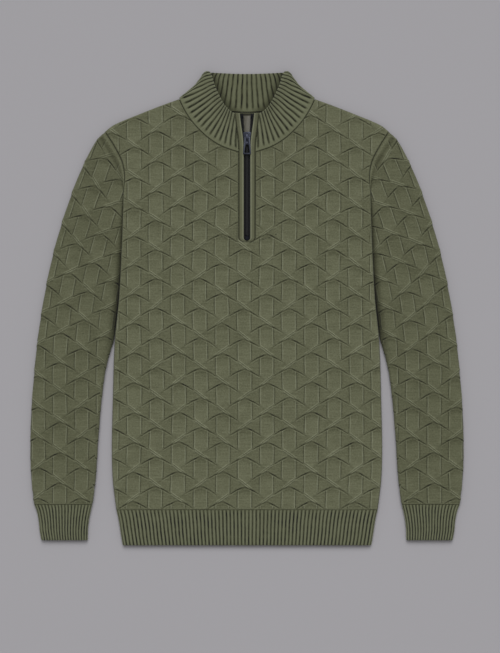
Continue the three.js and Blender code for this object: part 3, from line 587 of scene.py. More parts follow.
# Half a panel in mm: a Coons patch between centre line, hem seam, side and armhole, and neckline and
# shoulder. It comes with how far each point has dropped where its outside rounds over at a free edge, by
# a fold's radius at the side and shoulder and a seam's at the rest, and with its painted shade along the
# seams and in the side fold's last mm, and painted highlight just inside the arm seam and on the side fold.
def halfPanel(neckline, centre, centreJoined, sideShare, count, rows):
    neckShare = round(0.5 * count / body["step"]) * body["step"] / count
    surface = patch(straight((0, body["hemSeamY"]), body["side"][0]),
                    joined([neckline, shoulder], [neckShare, 1 - neckShare]), centre,
                    joined([bodySide, armhole], [sideShare, 1 - sideShare]))
    u, v = np.meshgrid(stations(count, body["across"]), stations(rows, body["along"]))
    flat = surface(u, v)
    fromOuter = np.linalg.norm(flat - flat[:, -1:], axis=-1)
    fromTop = np.linalg.norm(flat - flat[-1:], axis=-1)
    fromHem = np.linalg.norm(flat - flat[:1], axis=-1)
    farOff = (np.arange(rows + 1) < centreJoined)[:, None] * 99    # no edge where the halves are joined
    fromCentre = np.linalg.norm(flat - flat[:, :1], axis=-1) + farOff
    foldEdge = soft(-6, 2, (sideShare - v) * body["along"])
    onShoulder = soft(-4, 4, (u - neckShare) * body["topEdge"])
    armEdge, neckEdge = 1 - foldEdge, 1 - onShoulder
    fold, seam = body["foldRadius"], body["seamRound"]
    drop = np.maximum.reduce([
        edgeDrop(fromOuter, fold) * foldEdge + edgeDrop(fromOuter, seam) * armEdge,
        edgeDrop(fromTop, fold) * onShoulder + edgeDrop(fromTop, seam) * neckEdge,
        edgeDrop(fromHem, body["hemRound"]), edgeDrop(fromCentre, body["slitRound"])])
    # Painted shade along the arm, neck, hem and slit seams and in the side fold's last mm, where the sleeve
    # meets it; painted highlight just inside the arm seam and along the side fold's round.
    shade = body["seamShade"] * np.maximum.reduce([
        armEdge * (1 - soft(0.4, 2.2, fromOuter)), neckEdge * (1 - soft(0.4, 2.4, fromTop)),
        0.25 * (1 - soft(0.2, 1.4, fromHem)), 1 - soft(0.2, 2.0, fromCentre)])
    shade -= 0.07 * armEdge * bell(fromOuter - 3.5, 1.6)
    shade += foldEdge * (0.3 * (1 - soft(0.0, 1.0, fromOuter)) - 0.1 * bell(fromOuter - 2.6, 1.5))
    near = np.minimum.reduce([fromOuter, fromTop, fromHem, fromCentre])
    turned = np.clip(fold - fromOuter, 0, fold)
    turned = (fold * np.arcsin(turned / fold) - turned) * foldEdge    # cloth taken up by the side's fold
    return surface, u, v, flat, drop, near, turned, shade


# Both halves of a panel, each a wall whose outside carries the relief and the folds on top of its drop,
# and whose inside is flat.
def bodyPanel(name, node, neckline, centre, centreJoined, sideShare, count, rows, front):
    surface, u, v, flat, drop, near, turned, shade = halfPanel(
        neckline, centre, centreJoined, sideShare, count, rows)
    step, base = body["step"], body["reliefBase"]
    fade = soft(0.0, body["reliefFade"], near)
    parts = []
    for sense in (1, -1):
        x, y = sense * (flat[..., 0] + turned), flat[..., 1]
        patternX, patternY = wander(x - body["patternX"], y - body["patternY"])
        patternY = patternY + body["sag"] * soft(80, 190, flat[..., 0]) * soft(-60, 180, y)
        if not front:
            patternX = patternX + relief["columnGap"]
        height = reliefHeight(patternX, patternY) * fade
        place = np.stack([sense * flat[..., 0], flat[..., 1]], -1)
        if front:
            z = body["thickness"] - base + height + base * (1 - fade) - drop
            z += foldHeight(place, folds["front"]) * soft(2.0, 14.0, near)
        else:
            z = (1.65 - height) * 0.75 * fade + drop
            z += np.maximum(foldHeight(place, folds["back"]), 0) * soft(2.0, 14.0, near)
        outer = np.concatenate([place, z[..., None]], -1)
        inner = surface(np.minimum(u[::step, ::step], 1 - body["innerInset"] / body["across"]),
                        np.minimum(v[::step, ::step], 1 - body["innerInset"] / body["along"])) * [sense, 1]
        innerZ = body["frontInnerZ"] if front else body["wall"]
        inner = np.concatenate([inner, np.full(inner.shape[:2] + (1,), innerZ)], -1)
        marks = np.stack([shade, 1 - soft(0.6, 3.0, near)], -1)
        uv = np.stack([patternX, patternY], -1)
        parts.append(shell(outer, inner, uv, marks, step, joinedRows=centreJoined))
    return makePiece(name, together(*parts), reliefCloth, node)


slitBottom = body["zipEndY"] - body["slitDeep"]
frontCentre = joined(
    [straight((0, body["hemSeamY"]), (0, slitBottom)), slitRound,
     straight((body["slitHalf"], body["zipEndY"]), body["neckline"][0])],
    [0.6944, 0.0417, 0.2639])
backCentre = straight((0, body["hemSeamY"]), (0, body["backNeckY"]))
frontJoined = 250                 # rows up to the slit, below which the front's halves are one
frontCloth = bodyPanel("frontCloth", "front_panel", frontNeck, frontCentre, frontJoined, 0.8194,
                       body["columns"], body["rows"], True)
backCloth = bodyPanel("backCloth", "back_panel", backNeck, backCentre, body["backRows"] + body["step"], 0.807,
                      body["backColumns"], body["backRows"], False)
print("body panels made")


# The sleeves, in mm.
sleeve = {
    "outer": [(220, 272.9), (232.5, 261.2), (249.6, 230.2), (263.5, 199.2), (285.2, 137.2), (302.3, 75.2),
              (314.7, 13.2), (324, -48.8), (330.2, -110.8), (334.6, -172.8), (334.8, -250.3),
              (329.6, -303.1)],
    "inner": [(206.2, -48.8), (210.8, -64.3), (218.6, -95.3), (224.8, -141.8), (229.4, -196.1),
              (234.1, -265.8), (239.4, -303.1)],
    "besideGap": 0.3, "seamGap": 0.15, "tuckWidth": 22.0, "tuckLow": 0.4,
    "top": 50, "fold": 10, "under": 40, "rows": 300, "step": 5,    # steps round the tube and along it
    "axisX": 290.2, "bendY": -129.0, "bendRadius": 952.0, "patternY": -241.0,
    "widen": 1.033, "shorten": 0.99,  # of the lattice, across the arm and along it
    "seamAt": [0.07, 0.2, 0.36, 0.52, 0.68, 0.84, 0.965],    # shares of the armhole, from under the arm up
    "plainBand": (5.5, 8.5), "bandHigh": 0.45,               # the plain knit beside the armhole seam
    # seamShade, creaseShade and tuckShade: painted shade at the armhole seam, in the crease beside the plain
    # band, and on the sleeve beside the body, wide and narrow; shade: how much darker the whole sleeve is.
    "seamShade": 0.45, "creaseShade": 0.34, "tuckShade": (0.72, 0.22), "shade": 0.12,
}
beside = [(x + sleeve["besideGap"], y) for x, y in reversed(body["side"]) if y > -40]
sleeveOuter = smoothCurve(sleeve["outer"])
sleeveInner = smoothCurve(beside + sleeve["inner"])


# Place on the lattice: straight down the arm below the bend, and round an arc of radius R above it.
def sleevePattern(x, y):
    away = x - sleeve["axisX"] + sleeve["bendRadius"]
    rise = np.maximum(y - sleeve["bendY"], 0)
    radius, angle = np.hypot(away, rise), np.arctan2(rise, away)
    along = np.minimum(y, sleeve["bendY"]) - sleeve["patternY"] + sleeve["bendRadius"] * angle
    return (radius - sleeve["bendRadius"]) * sleeve["widen"], along * sleeve["shorten"]


# A flattened tube: rings across the arm from the armhole to the cuff. Each goes over the top from the inner
# fold to the outer, round a half circle, back underneath, and round the other half circle.
def sleeveGrid(v, ringPlace, inset):
    outerEdge, innerEdge = sleeveOuter(v)[:, None], sleeveInner(v)[:, None]
    out = outerEdge - innerEdge
    out = out / np.linalg.norm(out, axis=-1, keepdims=True)
    radius = body["thickness"] / 2
    first, last = innerEdge + out * radius, outerEdge - out * radius
    top, outside, under, inside = ringPlace
    seamAt = sleeve["seamAt"]

    def across(t):                # t from the inner fold to the outer, on the armhole itself at the top
        onSeam = np.interp(t, np.linspace(0, 1, len(seamAt)), seamAt)
        seam = armhole(onSeam) + [sleeve["seamGap"], 0]
        bend = seam - (first[0] + (last[0] - first[0]) * t[:, None])
        return first + (last - first) * t[None, :, None] + bend[None] * ((1 - v) ** 3)[:, None, None]

    r = radius - inset
    parts = []
    for t, centre, sense in ((top, None, 1), (outside, 1.0, 0), (under, None, -1), (inside, 0.0, 0)):
        if sense:
            flat = across(t if sense > 0 else 1 - t)
            parts.append(np.concatenate([flat, np.full(flat.shape[:2] + (1,), sense * r)], -1))
        else:
            angle, way = t * math.pi, 1 if centre else -1
            flat = across(np.array([centre])) + out * (way * r * np.sin(angle))[None, :, None]
            z = np.broadcast_to(way * r * np.cos(angle), flat.shape[:2])
            parts.append(np.concatenate([flat, z[..., None]], -1))
    return np.concatenate(parts, 1), innerEdge, outerEdge


def ringStations(step):           # shares over the top, round a fold, underneath, and round the other fold
    top = np.linspace(0, 1, sleeve["top"] + 1)[::step]
    fold = np.linspace(0, 1, sleeve["fold"] + 1)[::step][1:]
    under = np.linspace(0, 1, sleeve["under"] + 1)[::step][1:]
    return top, fold, under, fold


# One sleeve: the tube's grid, squashed where it is tucked beside the body, moved out along its own normal
# by the relief, the plain band at the armhole and the folds, and never below the floor.
def makeSleeve():
    rows = stations(sleeve["rows"], body["along"])
    radius, step = body["thickness"] / 2, sleeve["step"]
    grids = []
    for every, inset in ((1, 0.0), (step, body["wall"])):
        grid, innerEdge, outerEdge = sleeveGrid(rows[::every], ringStations(every), inset)
        fromInner = np.linalg.norm(grid[..., :2] - innerEdge, axis=-1)
        along = soft(-105, -15, grid[..., 1]) * (1 - soft(180, 215, grid[..., 1]))
        low = 1 - (1 - sleeve["tuckLow"]) * (1 - soft(0, sleeve["tuckWidth"], fromInner)) * along
        grid[..., 2] = (grid[..., 2] + radius) * low
        grids.append((grid, outerEdge, fromInner, along))
    grid, outerEdge, fromInner, along = grids[0]
    x, y = sleevePattern(grid[..., 0], grid[..., 1])
    edgeX = sleevePattern(outerEdge[..., 0], outerEdge[..., 1])[0]
    k = np.arange(grid.shape[1])
    upTo = sleeve["top"] + sleeve["fold"]
    roundFold = edgeX - radius + radius * math.pi * np.clip((k - sleeve["top"]) / sleeve["fold"], 0, 1)
    beneath = 2 * edgeX + (math.pi - 2) * radius - x
    x = np.where(k <= sleeve["top"], x, np.where(k <= upTo, roundFold, beneath))
    patternX, patternY = wander(x, y)
    fromSeam = np.linalg.norm(grid[..., :2] - grid[:1, :, :2], axis=-1)
    fromCuff = np.linalg.norm(grid[..., :2] - grid[-1:, :, :2], axis=-1)
    onTop = k <= sleeve["top"]
    band = (1 - soft(*sleeve["plainBand"], fromSeam)) * onTop
    keep = soft(0, 3, fromCuff) * np.where(onTop, soft(5.5, 9, fromSeam), soft(1, 4, fromSeam))
    height = reliefHeight(patternX, patternY) * keep
    ringStep = np.roll(grid[:, :-1], -1, 1) - np.roll(grid[:, :-1], 1, 1)
    normal = np.cross(np.gradient(grid[:, :-1], axis=0), ringStep)
    normal /= np.linalg.norm(normal, axis=-1, keepdims=True) + 1e-9
    normal = np.concatenate([normal, normal[:, :1]], 1)
    normal *= np.sign(normal[sleeve["rows"] // 2, sleeve["top"] // 2, 2])
    lift = (height - body["reliefBase"]) * keep + sleeve["bandHigh"] * band
    lift = lift - edgeDrop(fromSeam, 1.5) - edgeDrop(fromCuff, 0.8)
    lift += foldHeight(grid, folds["sleeve"]) * onTop * soft(4, 12, fromInner)
    below = np.clip(-normal[..., 2], 0, 1)
    outer = grid + normal * (lift - below * 0.9)[..., None]
    outer[:, -1] = outer[:, 0]
    outer[..., 2] = np.maximum(outer[..., 2], 0.0)
    # Painted shade at the armhole seam, in the crease outside the plain band, on the sleeve beside the body,
    # where the body's edge stands over it, and at the cuff seam; painted highlight on the plain band. The
    # whole sleeve is a little darker as well.
    dark = sleeve["seamShade"] * (1 - soft(0.3, 1.6, fromSeam)) - 0.3 * bell(fromSeam - 4.0, 2.0) * onTop
    dark += sleeve["creaseShade"] * bell(fromSeam - 10.5, 3.6) * onTop
    facing = onTop | (k >= upTo + sleeve["under"])
    wide, narrow = sleeve["tuckShade"]
    beside = (wide * (1 - soft(1, 16, fromInner)) + narrow * (1 - soft(1.0, 4.0, fromInner))) * along * facing
    dark += beside + 0.08 * (1 - soft(0.2, 1.2, fromCuff))
    marks = np.stack([dark + sleeve["shade"], 1 - keep], -1)
    return shell(outer, grids[1][0], np.stack([patternX, patternY], -1), marks, step, wrapped=True)


leftSleeve = makeSleeve()
rightSleeve = turnedOver(leftSleeve, -1)
sleeveLeft = makePiece("sleeveLeftCloth", leftSleeve, reliefCloth, "sleeve_left")
sleeveRight = makePiece("sleeveRightCloth", rightSleeve, reliefCloth, "sleeve_right")
print("sleeves made")


# The ribbed cuffs and hem, in mm: rows of y, and the two edges there.
ribs = {
    "thickness": 6.4, "wall": 2.8, "height": 0.75, "perRib": 8, "rows": 20, "step": 4,
    "cuff": [(-303.25, 239.6, 329.2), (-312.3, 241.8, 325.5), (-327.8, 244.9, 322.4), (-343.3, 246.5, 320.9),
             (-358.8, 246.6, 318.2)],
    "hem": [(-311.5, -202, 202), (-327.8, -198.4, 198.4), (-350, -195, 195), (-366.6, -192.2, 192.2)],
    "hemRibs": 68, "cuffRibs": 16,    # that show from above
    "seamRound": 1.4, "freeRound": 0.8, "innerBand": (2.8, 3.6), "freeShade": 0.1, "seamShade": 0.12,
}


# A ribbed tube lying flat. Each ring is a flattened loop between two edge points, pushed out and in by
# height * cos(2 pi * ribs), and rounded at both ends.
def ribTube(edges, ribCount, pitch):
    table = np.array(edges)[::-1]
    length = abs(table[0, 0] - table[-1, 0])
    v = stations(ribs["rows"], length, (0.3, 0.8, 1.6))
    y = table[-1, 0] + (table[0, 0] - table[-1, 0]) * v
    low, high = (smoothCurve([(row[side], row[0]) for row in edges])(v)[:, 0] for side in (1, 2))
    per, radius = ribs["perRib"], ribs["thickness"] / 2
    top, fold = ribCount * per, 2 * per
    round1, round2 = (edgeDrop(away[:, None], ribs[end]) for away, end in
                      ((v * length, "freeRound"), ((1 - v) * length, "seamRound")))
    ends = np.maximum(round1, round2)

    def ring(step, inset, waving, rounded):
        k = np.arange(0, 2 * (top + fold) + 1, step)
        a, b, yy = low[::step, None] + radius, high[::step, None] - radius, y[::step, None]
        angle1 = np.clip((k - top) / fold, 0, 1) * math.pi
        angle2 = np.clip((k - 2 * top - fold) / fold, 0, 1) * math.pi
        back = np.where(k <= top + fold, 1, np.clip(1 - (k - top - fold) / top, 0, 1))
        share = np.where(k <= top, k / top, back)
        swell = waving * np.cos(2 * np.pi * k / per) - inset
        reach = radius + swell - ends[::step] * rounded
        outX = np.where(k <= top + fold, np.sin(angle1), -np.sin(angle2))
        outZ = np.where(k <= top + fold, np.cos(angle1), -np.cos(angle2))
        x = a + (b - a) * share + outX * reach
        z = np.maximum(radius + outZ * reach, 0)
        return np.stack([x, np.broadcast_to(yy, x.shape), z], -1), k

    outer, k = ring(1, ribs["height"] * 0.8, ribs["height"], True)
    inner, _ = ring(ribs["step"], ribs["wall"], 0.0, False)
    inner[..., 2] = np.clip(inner[..., 2], *ribs["innerBand"])
    u = np.broadcast_to(k * pitch / per, outer.shape[:2])
    fromFree, fromSeam = (np.broadcast_to((part * length)[:, None], u.shape) for part in (v, 1 - v))
    # Painted shade at the free edge, where the rib rounds under, and at the seam.
    shade = ribs["freeShade"] * (1 - soft(0.2, 1.2, fromFree))
    shade = shade + ribs["seamShade"] * (1 - soft(0.0, 2.0, fromSeam))
    marks = np.stack([shade, 1 - soft(0.2, 2.6, fromFree)], -1)
    return shell(outer, inner, np.stack([u, outer[..., 1]], -1), marks, ribs["step"], wrapped=True)


hemPart = ribTube(ribs["hem"], ribs["hemRibs"], hemPitch)
cuffPart = ribTube(ribs["cuff"], ribs["cuffRibs"], cuffPitch)
hemPiece = makePiece("hemRibCloth", hemPart, hemCloth, "hem_rib")
cuffLeft = makePiece("cuffLeftCloth", cuffPart, cuffCloth, "cuff_left")
cuffRight = makePiece("cuffRightCloth", turnedOver(cuffPart), cuffCloth, "cuff_right")
print("ribs made")


# The collar, in mm: its front half from placket to side fold, the fold, and the back half.
collar = {
    "wall": 3.0, "high": 60,      # about how far it is from its seam to its free edge
    "frontTop": [(19, 301.2), (25.7, 305.2), (34.1, 313.6), (42.5, 328), (50.7, 344.6), (56.9, 359.1),
                 (62, 366.6)],
    "fold": [(105.4, 323.8), (91.5, 334), (80.6, 343.3), (72.9, 352.6), (66.7, 361.9), (62, 366.6)],
    "backTopY": 363.2, "centreRise": 4.0, "foldRise": 6.0, "archRise": 4.0, "foldRadius": 2.0,
    "frontRibs": 18, "foldRibs": 4, "backRibs": 9, "perRib": 9, "rows": 28,      # steps of the grid
    "ribHeight": 0.8, "seamRibs": 13.4, "edgeRibs": 0.9, "ribTotal": 28.5,       # the ribs that show
    "lean": (0.076, 0.177),       # how the ribs lean towards the placket as they rise
    "seamStart": 0.5, "foldStart": 0.038,
    # seamShade: painted shade along the seam; backShade, insideShade and insideReach: painted shade round the
    # fold and over the inside of the back, deepest within insideReach mm of the front half's free edge.
    "seamRound": 0.7, "seamShade": 0.45, "backShade": 0.12, "insideShade": 0.55, "insideReach": 15,
}
sideFold, collarTop = smoothCurve(collar["fold"]), smoothCurve(collar["frontTop"])


# The front half lifts as height share to the power 5 - 2t, t from placket to fold, most between the two.
def lift(t, h):
    rise = collar["centreRise"] * (1 - t) + collar["foldRise"] * t + collar["archRise"] * 4 * t * (1 - t)
    return h ** (5 - 2 * t) * rise


def foldOut(h):                   # the outward direction of the fold in plan, square to it
    along = sideFold(np.minimum(h + 0.05, 1)) - sideFold(np.maximum(h - 0.05, 0))
    out = np.stack([along[..., 1], -along[..., 0] * (1 - 0.75 * soft(0.6, 1.0, np.asarray(h, float)))], -1)
    return out / np.linalg.norm(out, axis=-1, keepdims=True)


def foldCentre(h):                # the middle of the fold's round, a radius in from its outside
    reach = collar["foldRadius"] + lift(1.0, h) / 2
    return sideFold(h) - foldOut(h) * reach[..., None]


def backTop(t):                   # the back's free edge: y rises as t squared
    t = np.asarray(t, float)
    y = collar["backTopY"] + (collar["fold"][-1][1] - collar["backTopY"]) * t ** 2
    return np.stack([collar["fold"][-1][0] * t, y], -1)


def clearOfSeam(h, foldShare):    # height share from just above the seam, a little higher at the fold
    start = collar["seamStart"] / collar["high"] + collar["foldStart"] * foldShare
    return start + h * (1 - start)


def collarFrontZ(t, h):           # the middle of the front half's wall
    return body["thickness"] - collar["wall"] / 2 + lift(t, h)


# Where each grid column lies, as a count of ribs: over the front by its share, with a lean towards the
# placket that grows with height, then round the fold, then over the back, closest together at the seam.
def collarRibs(h, k, middle, frontEnd, foldEnd):
    onFront, onFold = np.clip(k / frontEnd, 0, 1), np.clip((k - frontEnd) / (foldEnd - frontEnd), 0, 1)
    onBack = 1 - np.clip((k - foldEnd) / (middle - foldEnd), 0, 1)
    leanBy = collar["lean"][0] * h + collar["lean"][1] * h ** 3
    lean = leanBy * collar["seamRibs"] * (0.5 + 0.5 * soft(0.0, 0.4, onFront))
    frontAt = (collar["seamRibs"] + collar["edgeRibs"] * h) * onFront + lean
    backAt = collar["ribTotal"] - collar["backRibs"] * onBack * (1 + 0.26 * (1 - h))
    turning = frontAt + (backAt - frontAt) * onFold
    return np.where(k <= frontEnd, frontAt, np.where(k < foldEnd, turning, backAt)), onFold


# One wall whose middle runs over the front patch, round the fold on half circles, and back over the back
# patch. Its two faces stand half a wall either side of that, waving together as the ribs do:
# 1 - 2 * sin(pi * ribs) to the power 3.
def makeCollar():
    h = stations(collar["rows"], collar["high"], (0.25, 0.6, 1.1, 1.8))[:, None]
    per, mid = collar["perRib"], collar["wall"] / 2
    frontPatch = patch(frontNeck, collarTop, straight(body["neckline"][0], collar["frontTop"][0]), sideFold)
    backPatch = patch(backNeck, backTop, straight(backNeck(0.0), backTop(0.0)), sideFold)

    def column(surface, t, seamShare, z, sense):     # places on a patch, drawn in to the fold at its side
        t = np.broadcast_to(t, (len(h), t.size))
        clear = clearOfSeam(np.broadcast_to(h, t.shape), seamShare * t ** 4)
        stop = surface(np.ones_like(t), clear) - foldCentre(clear)
        place = surface(t, clear) - stop * (t ** 4)[..., None]
        height = z(t, np.broadcast_to(h, t.shape))
        out = np.zeros(t.shape + (3,))
        out[..., 2] = sense
        return np.concatenate([place, height[..., None]], -1), out

    frontT = np.linspace(0, 1, collar["frontRibs"] * per + 1)
    backT = np.linspace(1, 0, collar["backRibs"] * per + 1)
    angle = np.linspace(0, math.pi, collar["foldRibs"] * per + 1)[1:-1]
    front, frontOut = column(frontPatch, frontT, 0.0, collarFrontZ, 1)
    back, backOut = column(backPatch, backT, 1.0, lambda t, hh: np.full(t.shape, mid), -1)
    hh = np.broadcast_to(h, (len(h), angle.size))
    radius = (collarFrontZ(1.0, hh) - mid) / 2
    clear = clearOfSeam(hh, np.broadcast_to(angle / math.pi, hh.shape))
    way = foldOut(clear) * np.sin(angle)[None, :, None]
    foldWay = np.concatenate([way, np.broadcast_to(np.cos(angle), hh.shape)[..., None]], -1)
    centre = np.concatenate([foldCentre(clear), (mid + radius)[..., None]], -1)
    points = np.concatenate([front, centre + foldWay * radius[..., None], back], 1)
    outs = np.concatenate([frontOut, foldWay, backOut], 1)
    points, outs = (np.concatenate([half, half[:, -2::-1] * [-1, 1, 1]], 1) for half in (points, outs))
    middle = points.shape[1] // 2
    k = middle - np.abs(np.arange(points.shape[1]) - middle)
    frontEnd, foldEnd = collar["frontRibs"] * per, (collar["frontRibs"] + collar["foldRibs"]) * per
    ribAt, onFold = collarRibs(h, k, middle, frontEnd, foldEnd)
    fade = soft(0.06, 0.11, h)
    waving = collar["ribHeight"] * (1 - 2 * (0.5 - 0.5 * np.cos(2 * np.pi * ribAt)) ** 1.5) * fade
    up = h * collar["high"]
    thin = edgeDrop((1 - h) * collar["high"], mid * 0.9) + edgeDrop(up, collar["seamRound"])
    outer = points + outs * (mid - thin + waving)[..., None]
    inner = points - outs * (mid - thin - waving)[..., None]
    outer[..., 2] = np.maximum(outer[..., 2], 0.0)
    uv = np.stack([ribAt * collarPitch, np.broadcast_to(up, outer.shape[:2])], -1)
    # Painted shade along the seam, round the fold and over the inside of the back, most there near the front
    # half's free edge, which stands over it; painted highlight along the front half's free edge.
    freeEdge = collarTop(np.linspace(0, 1, 60))
    awayX = np.abs(points[..., 0])[..., None] - freeEdge[:, 0]
    awayY = points[..., 1][..., None] - freeEdge[:, 1]
    fromEdge = np.sqrt(np.min(awayX ** 2 + awayY ** 2, axis=-1))
    deep = collar["backShade"] + collar["insideShade"] * (1 - soft(0, collar["insideReach"], fromEdge))
    shade = (collar["seamShade"] * (1 - soft(0.3, 1.6, up)) + onFold * deep
             - (1 - onFold) * 0.1 * soft(0.9, 0.97, h))
    marks = np.stack([shade, np.broadcast_to(1 - fade, shade.shape)], -1)
    return shell(outer, inner, uv, marks, 1)


collarPiece = makePiece("collarCloth", makeCollar(), collarCloth, "collar")
print("collar made")


# The zip and its placket bands, in mm. The zip opens by openY: how far the placket's and the tape's inner
# edges stand from the centre line there.
zipParts = {
    "placketWidth": 7.4, "placketHigh": 2.8, "tapeHigh": 0.6, "gap": 0.3, "frontUnder": 4.0, "topY": 301.2,
    "neckSeamY": 241.7,
    "openY": [104.6, 250, 260, 267, 274, 286, 301.2],
    "placketFrom": [5, 5, 5.5, 6.4, 7.4, 9.2, 11],
    "tapeFrom": [0.25, 0.25, 0.5, 1.9, 4.2, 5, 5.8],
    "toothPitch": 1.3, "toothRadius": 0.5, "closedTooth": 1.62, "openTooth": 1.1,    # half lengths of teeth
    "closedFrom": 112.4, "closedTo": 257.2, "openFrom": 273.4, "openTo": 293.8, "sideWidth": 2.3,
    "endMargin": 0.6, "bedHalf": 2.7,
}
bedTop = zipParts["tapeHigh"] + zipParts["gap"]      # what lies on the tape stands this far up
placket = {
    "around": 32, "arcSteps": 25, "rows": 130, "square": 0.55,
    "rollAt": 0.16, "roll": 0.75, "hollow": 0.35,    # the rolled inner edge, and the dip beside it
    "endSquash": 0.27, "endFrom": 5,                 # how the band narrows round the zip's end
    # outerShade, rollLight and innerShade: painted shade at the outer edge, painted highlight on the roll,
    # and painted shade under the inner edge.
    "outerShade": 0.66, "rollLight": 0.9, "innerShade": 0.3, "mapWidth": 9.0,
}


def centreZ(y):                   # the front layer's underside on the centre line, which lifts up the collar
    share = np.clip((y - zipParts["neckSeamY"]) / (zipParts["topY"] - zipParts["neckSeamY"]), 0, 1)
    return zipParts["frontUnder"] + lift(0.0, share)


# A narrow knit band, rolled at its inner edge: rounded-square rings, the cosine and sine each to a power,
# round the zip's end on a quarter circle and up beside it.
def makePlacket():
    around = np.arange(placket["around"]) * 2 * np.pi / placket["around"]
    c, s = np.cos(around), np.sin(around)
    acrossShare = 0.5 - 0.5 * np.sign(c) * np.abs(c) ** placket["square"]
    highShare = 0.5 + 0.5 * np.sign(s) * np.abs(s) ** placket["square"]
    fromRoll = acrossShare - placket["rollAt"]
    roll = placket["roll"] * bell(fromRoll, 0.17) - placket["hollow"] * bell(acrossShare - 0.5, 0.2)
    arc = np.linspace(0.02, 1, placket["arcSteps"] + 1)[:-1] * math.pi / 2
    y = np.concatenate([np.full(placket["arcSteps"], zipParts["openY"][0]),
                        np.linspace(body["zipEndY"], zipParts["topY"], placket["rows"])])
    from0 = np.interp(y, zipParts["openY"], zipParts["placketFrom"])
    along = from0[:, None] + zipParts["placketWidth"] * acrossShare
    z = (centreZ(y) + bedTop)[:, None] + zipParts["placketHigh"] * highShare + roll * (s > 0)
    bend = np.concatenate([arc, np.full(placket["rows"], math.pi / 2)])[:, None]
    x = along * np.sin(bend)
    end = placket["endFrom"]
    deep = np.where(along < end, along, end + (along - end) * placket["endSquash"])
    height = np.where(bend < math.pi / 2, body["zipEndY"], y[:, None]) - deep * np.cos(bend)
    rings = np.stack([x, height, z], -1)
    topRing = rings[:, placket["around"] // 4]
    length = np.concatenate([[0], np.cumsum(np.linalg.norm(np.diff(topRing, axis=0), axis=-1))])
    uv = np.stack([np.broadcast_to(acrossShare * placket["mapWidth"], x.shape),
                   np.broadcast_to(length[:, None], x.shape)], -1)
    # Painted shade along the band's outer edge, where it meets the front, and under its inner edge beside the
    # zip; painted highlight on the rolled inner edge. All of it fades out towards the bottom of the round at
    # the zip's end.
    shade = placket["outerShade"] * soft(0.74, 0.97, acrossShare)
    shade = shade - placket["rollLight"] * bell(fromRoll, 0.13)
    shade = shade + placket["innerShade"] * (1 - soft(0.0, 0.06, acrossShare)) * (s < 0.6)
    return bar(rings, uv, shade * soft(0.3, 1.4, bend))


placketPart = makePlacket()
placketLeft = makePiece("placketLeftCloth", placketPart, plainCloth, "placket_left")
placketOver = turnedOver(placketPart)
placketRight = makePiece("placketRightCloth", placketOver, plainCloth, "placket_right")


# Coil teeth: each is a short rounded bar, six-sided, with its two ends drawn in.
def teeth(centres, halfLength):
    sides, rings = 6, 5
    endX = np.array([-1.0, -0.86, 0.0, 0.86, 1.0])
    swell = np.array([0.35, 0.9, 1.0, 0.9, 0.35])
    ring = np.arange(sides) * np.pi / 3
    shape = np.stack([np.broadcast_to(endX[:, None], (rings, sides)),
                      swell[:, None] * np.cos(ring), swell[:, None] * np.sin(ring)], -1).reshape(-1, 3)
    radius = zipParts["toothRadius"]
    points = (centres[:, None] + shape[None] * [halfLength, radius, radius * 1.15]).reshape(-1, 3)
    one = []
    for i in range(rings - 1):
        at, after = i * sides, (i + 1) * sides
        one += [[at + j, at + (j + 1) % sides, after + (j + 1) % sides, after + j] for j in range(sides)]
    one += [list(range(sides)), list(range(rings * sides - 1, (rings - 1) * sides - 1, -1))]
    faces = [[i + rings * sides * t for i in face] for t in range(len(centres)) for face in one]
    return points, faces, points[:, :2], np.zeros((len(points), 2))


# A low rounded bed under the teeth: rings that are ovals in x and z, as wide as the bed is at their y.
def strip(fromX, toX, fromY, toY, high, zAt):
    y = np.linspace(fromY, toY, 24)
    around = np.arange(12) * np.pi / 6
    half, mid = (toX(y) - fromX(y)) / 2, (toX(y) + fromX(y)) / 2
    x = mid[:, None] + half[:, None] * np.cos(around)
    z = zAt(y)[:, None] + high * (0.5 + 0.5 * np.sin(around))
    rings = np.stack([x, np.broadcast_to(y[:, None], x.shape), z], -1)
    return bar(rings, rings[..., :2], np.zeros(x.shape))


def level(value):                 # the same number at every y
    return lambda y: np.full(np.shape(y), value)


def tapeEdge(y):                  # how far the open tape's inner edge stands from the centre line
    return np.interp(y, zipParts["openY"], zipParts["tapeFrom"])


def makeClosedCoil():             # teeth from each side in turn, meeting over the centre line
    start, stop = zipParts["closedFrom"], zipParts["closedTo"]
    y = np.arange(start + zipParts["endMargin"], stop - zipParts["endMargin"], zipParts["toothPitch"] / 2)
    side = np.where(np.arange(len(y)) % 2 == 0, 1.0, -1.0)
    low = zipParts["frontUnder"] + bedTop
    rows = teeth(np.stack([side, y, np.full(len(y), low + 1.2)], -1), zipParts["closedTooth"])
    bed = strip(level(-zipParts["bedHalf"]), level(zipParts["bedHalf"]), start, stop, 1.2, level(low))
    return together(rows, bed)


def makeOpenCoil():               # teeth along the left tape's edge, which lifts up the collar
    start, stop = zipParts["openFrom"], zipParts["openTo"]
    y = np.arange(start + 0.5, stop - 0.5, zipParts["toothPitch"])
    rows = teeth(np.stack([tapeEdge(y) + 1.15, y, centreZ(y) + bedTop + 0.9], -1), zipParts["openTooth"])
    bed = strip(lambda q: tapeEdge(q) + 0.2, lambda q: tapeEdge(q) + zipParts["sideWidth"], start, stop, 1.0,
                lambda q: centreZ(q) + bedTop)
    return together(rows, bed)


makePiece("zipCoilTeeth", makeClosedCoil(), coilNylon, "zip_coil")
makePiece("zipCoilLeftTeeth", makeOpenCoil(), coilNylon, "zip_coil_left")
makePiece("zipCoilRightTeeth", turnedOver(makeOpenCoil()), coilNylon, "zip_coil_right")


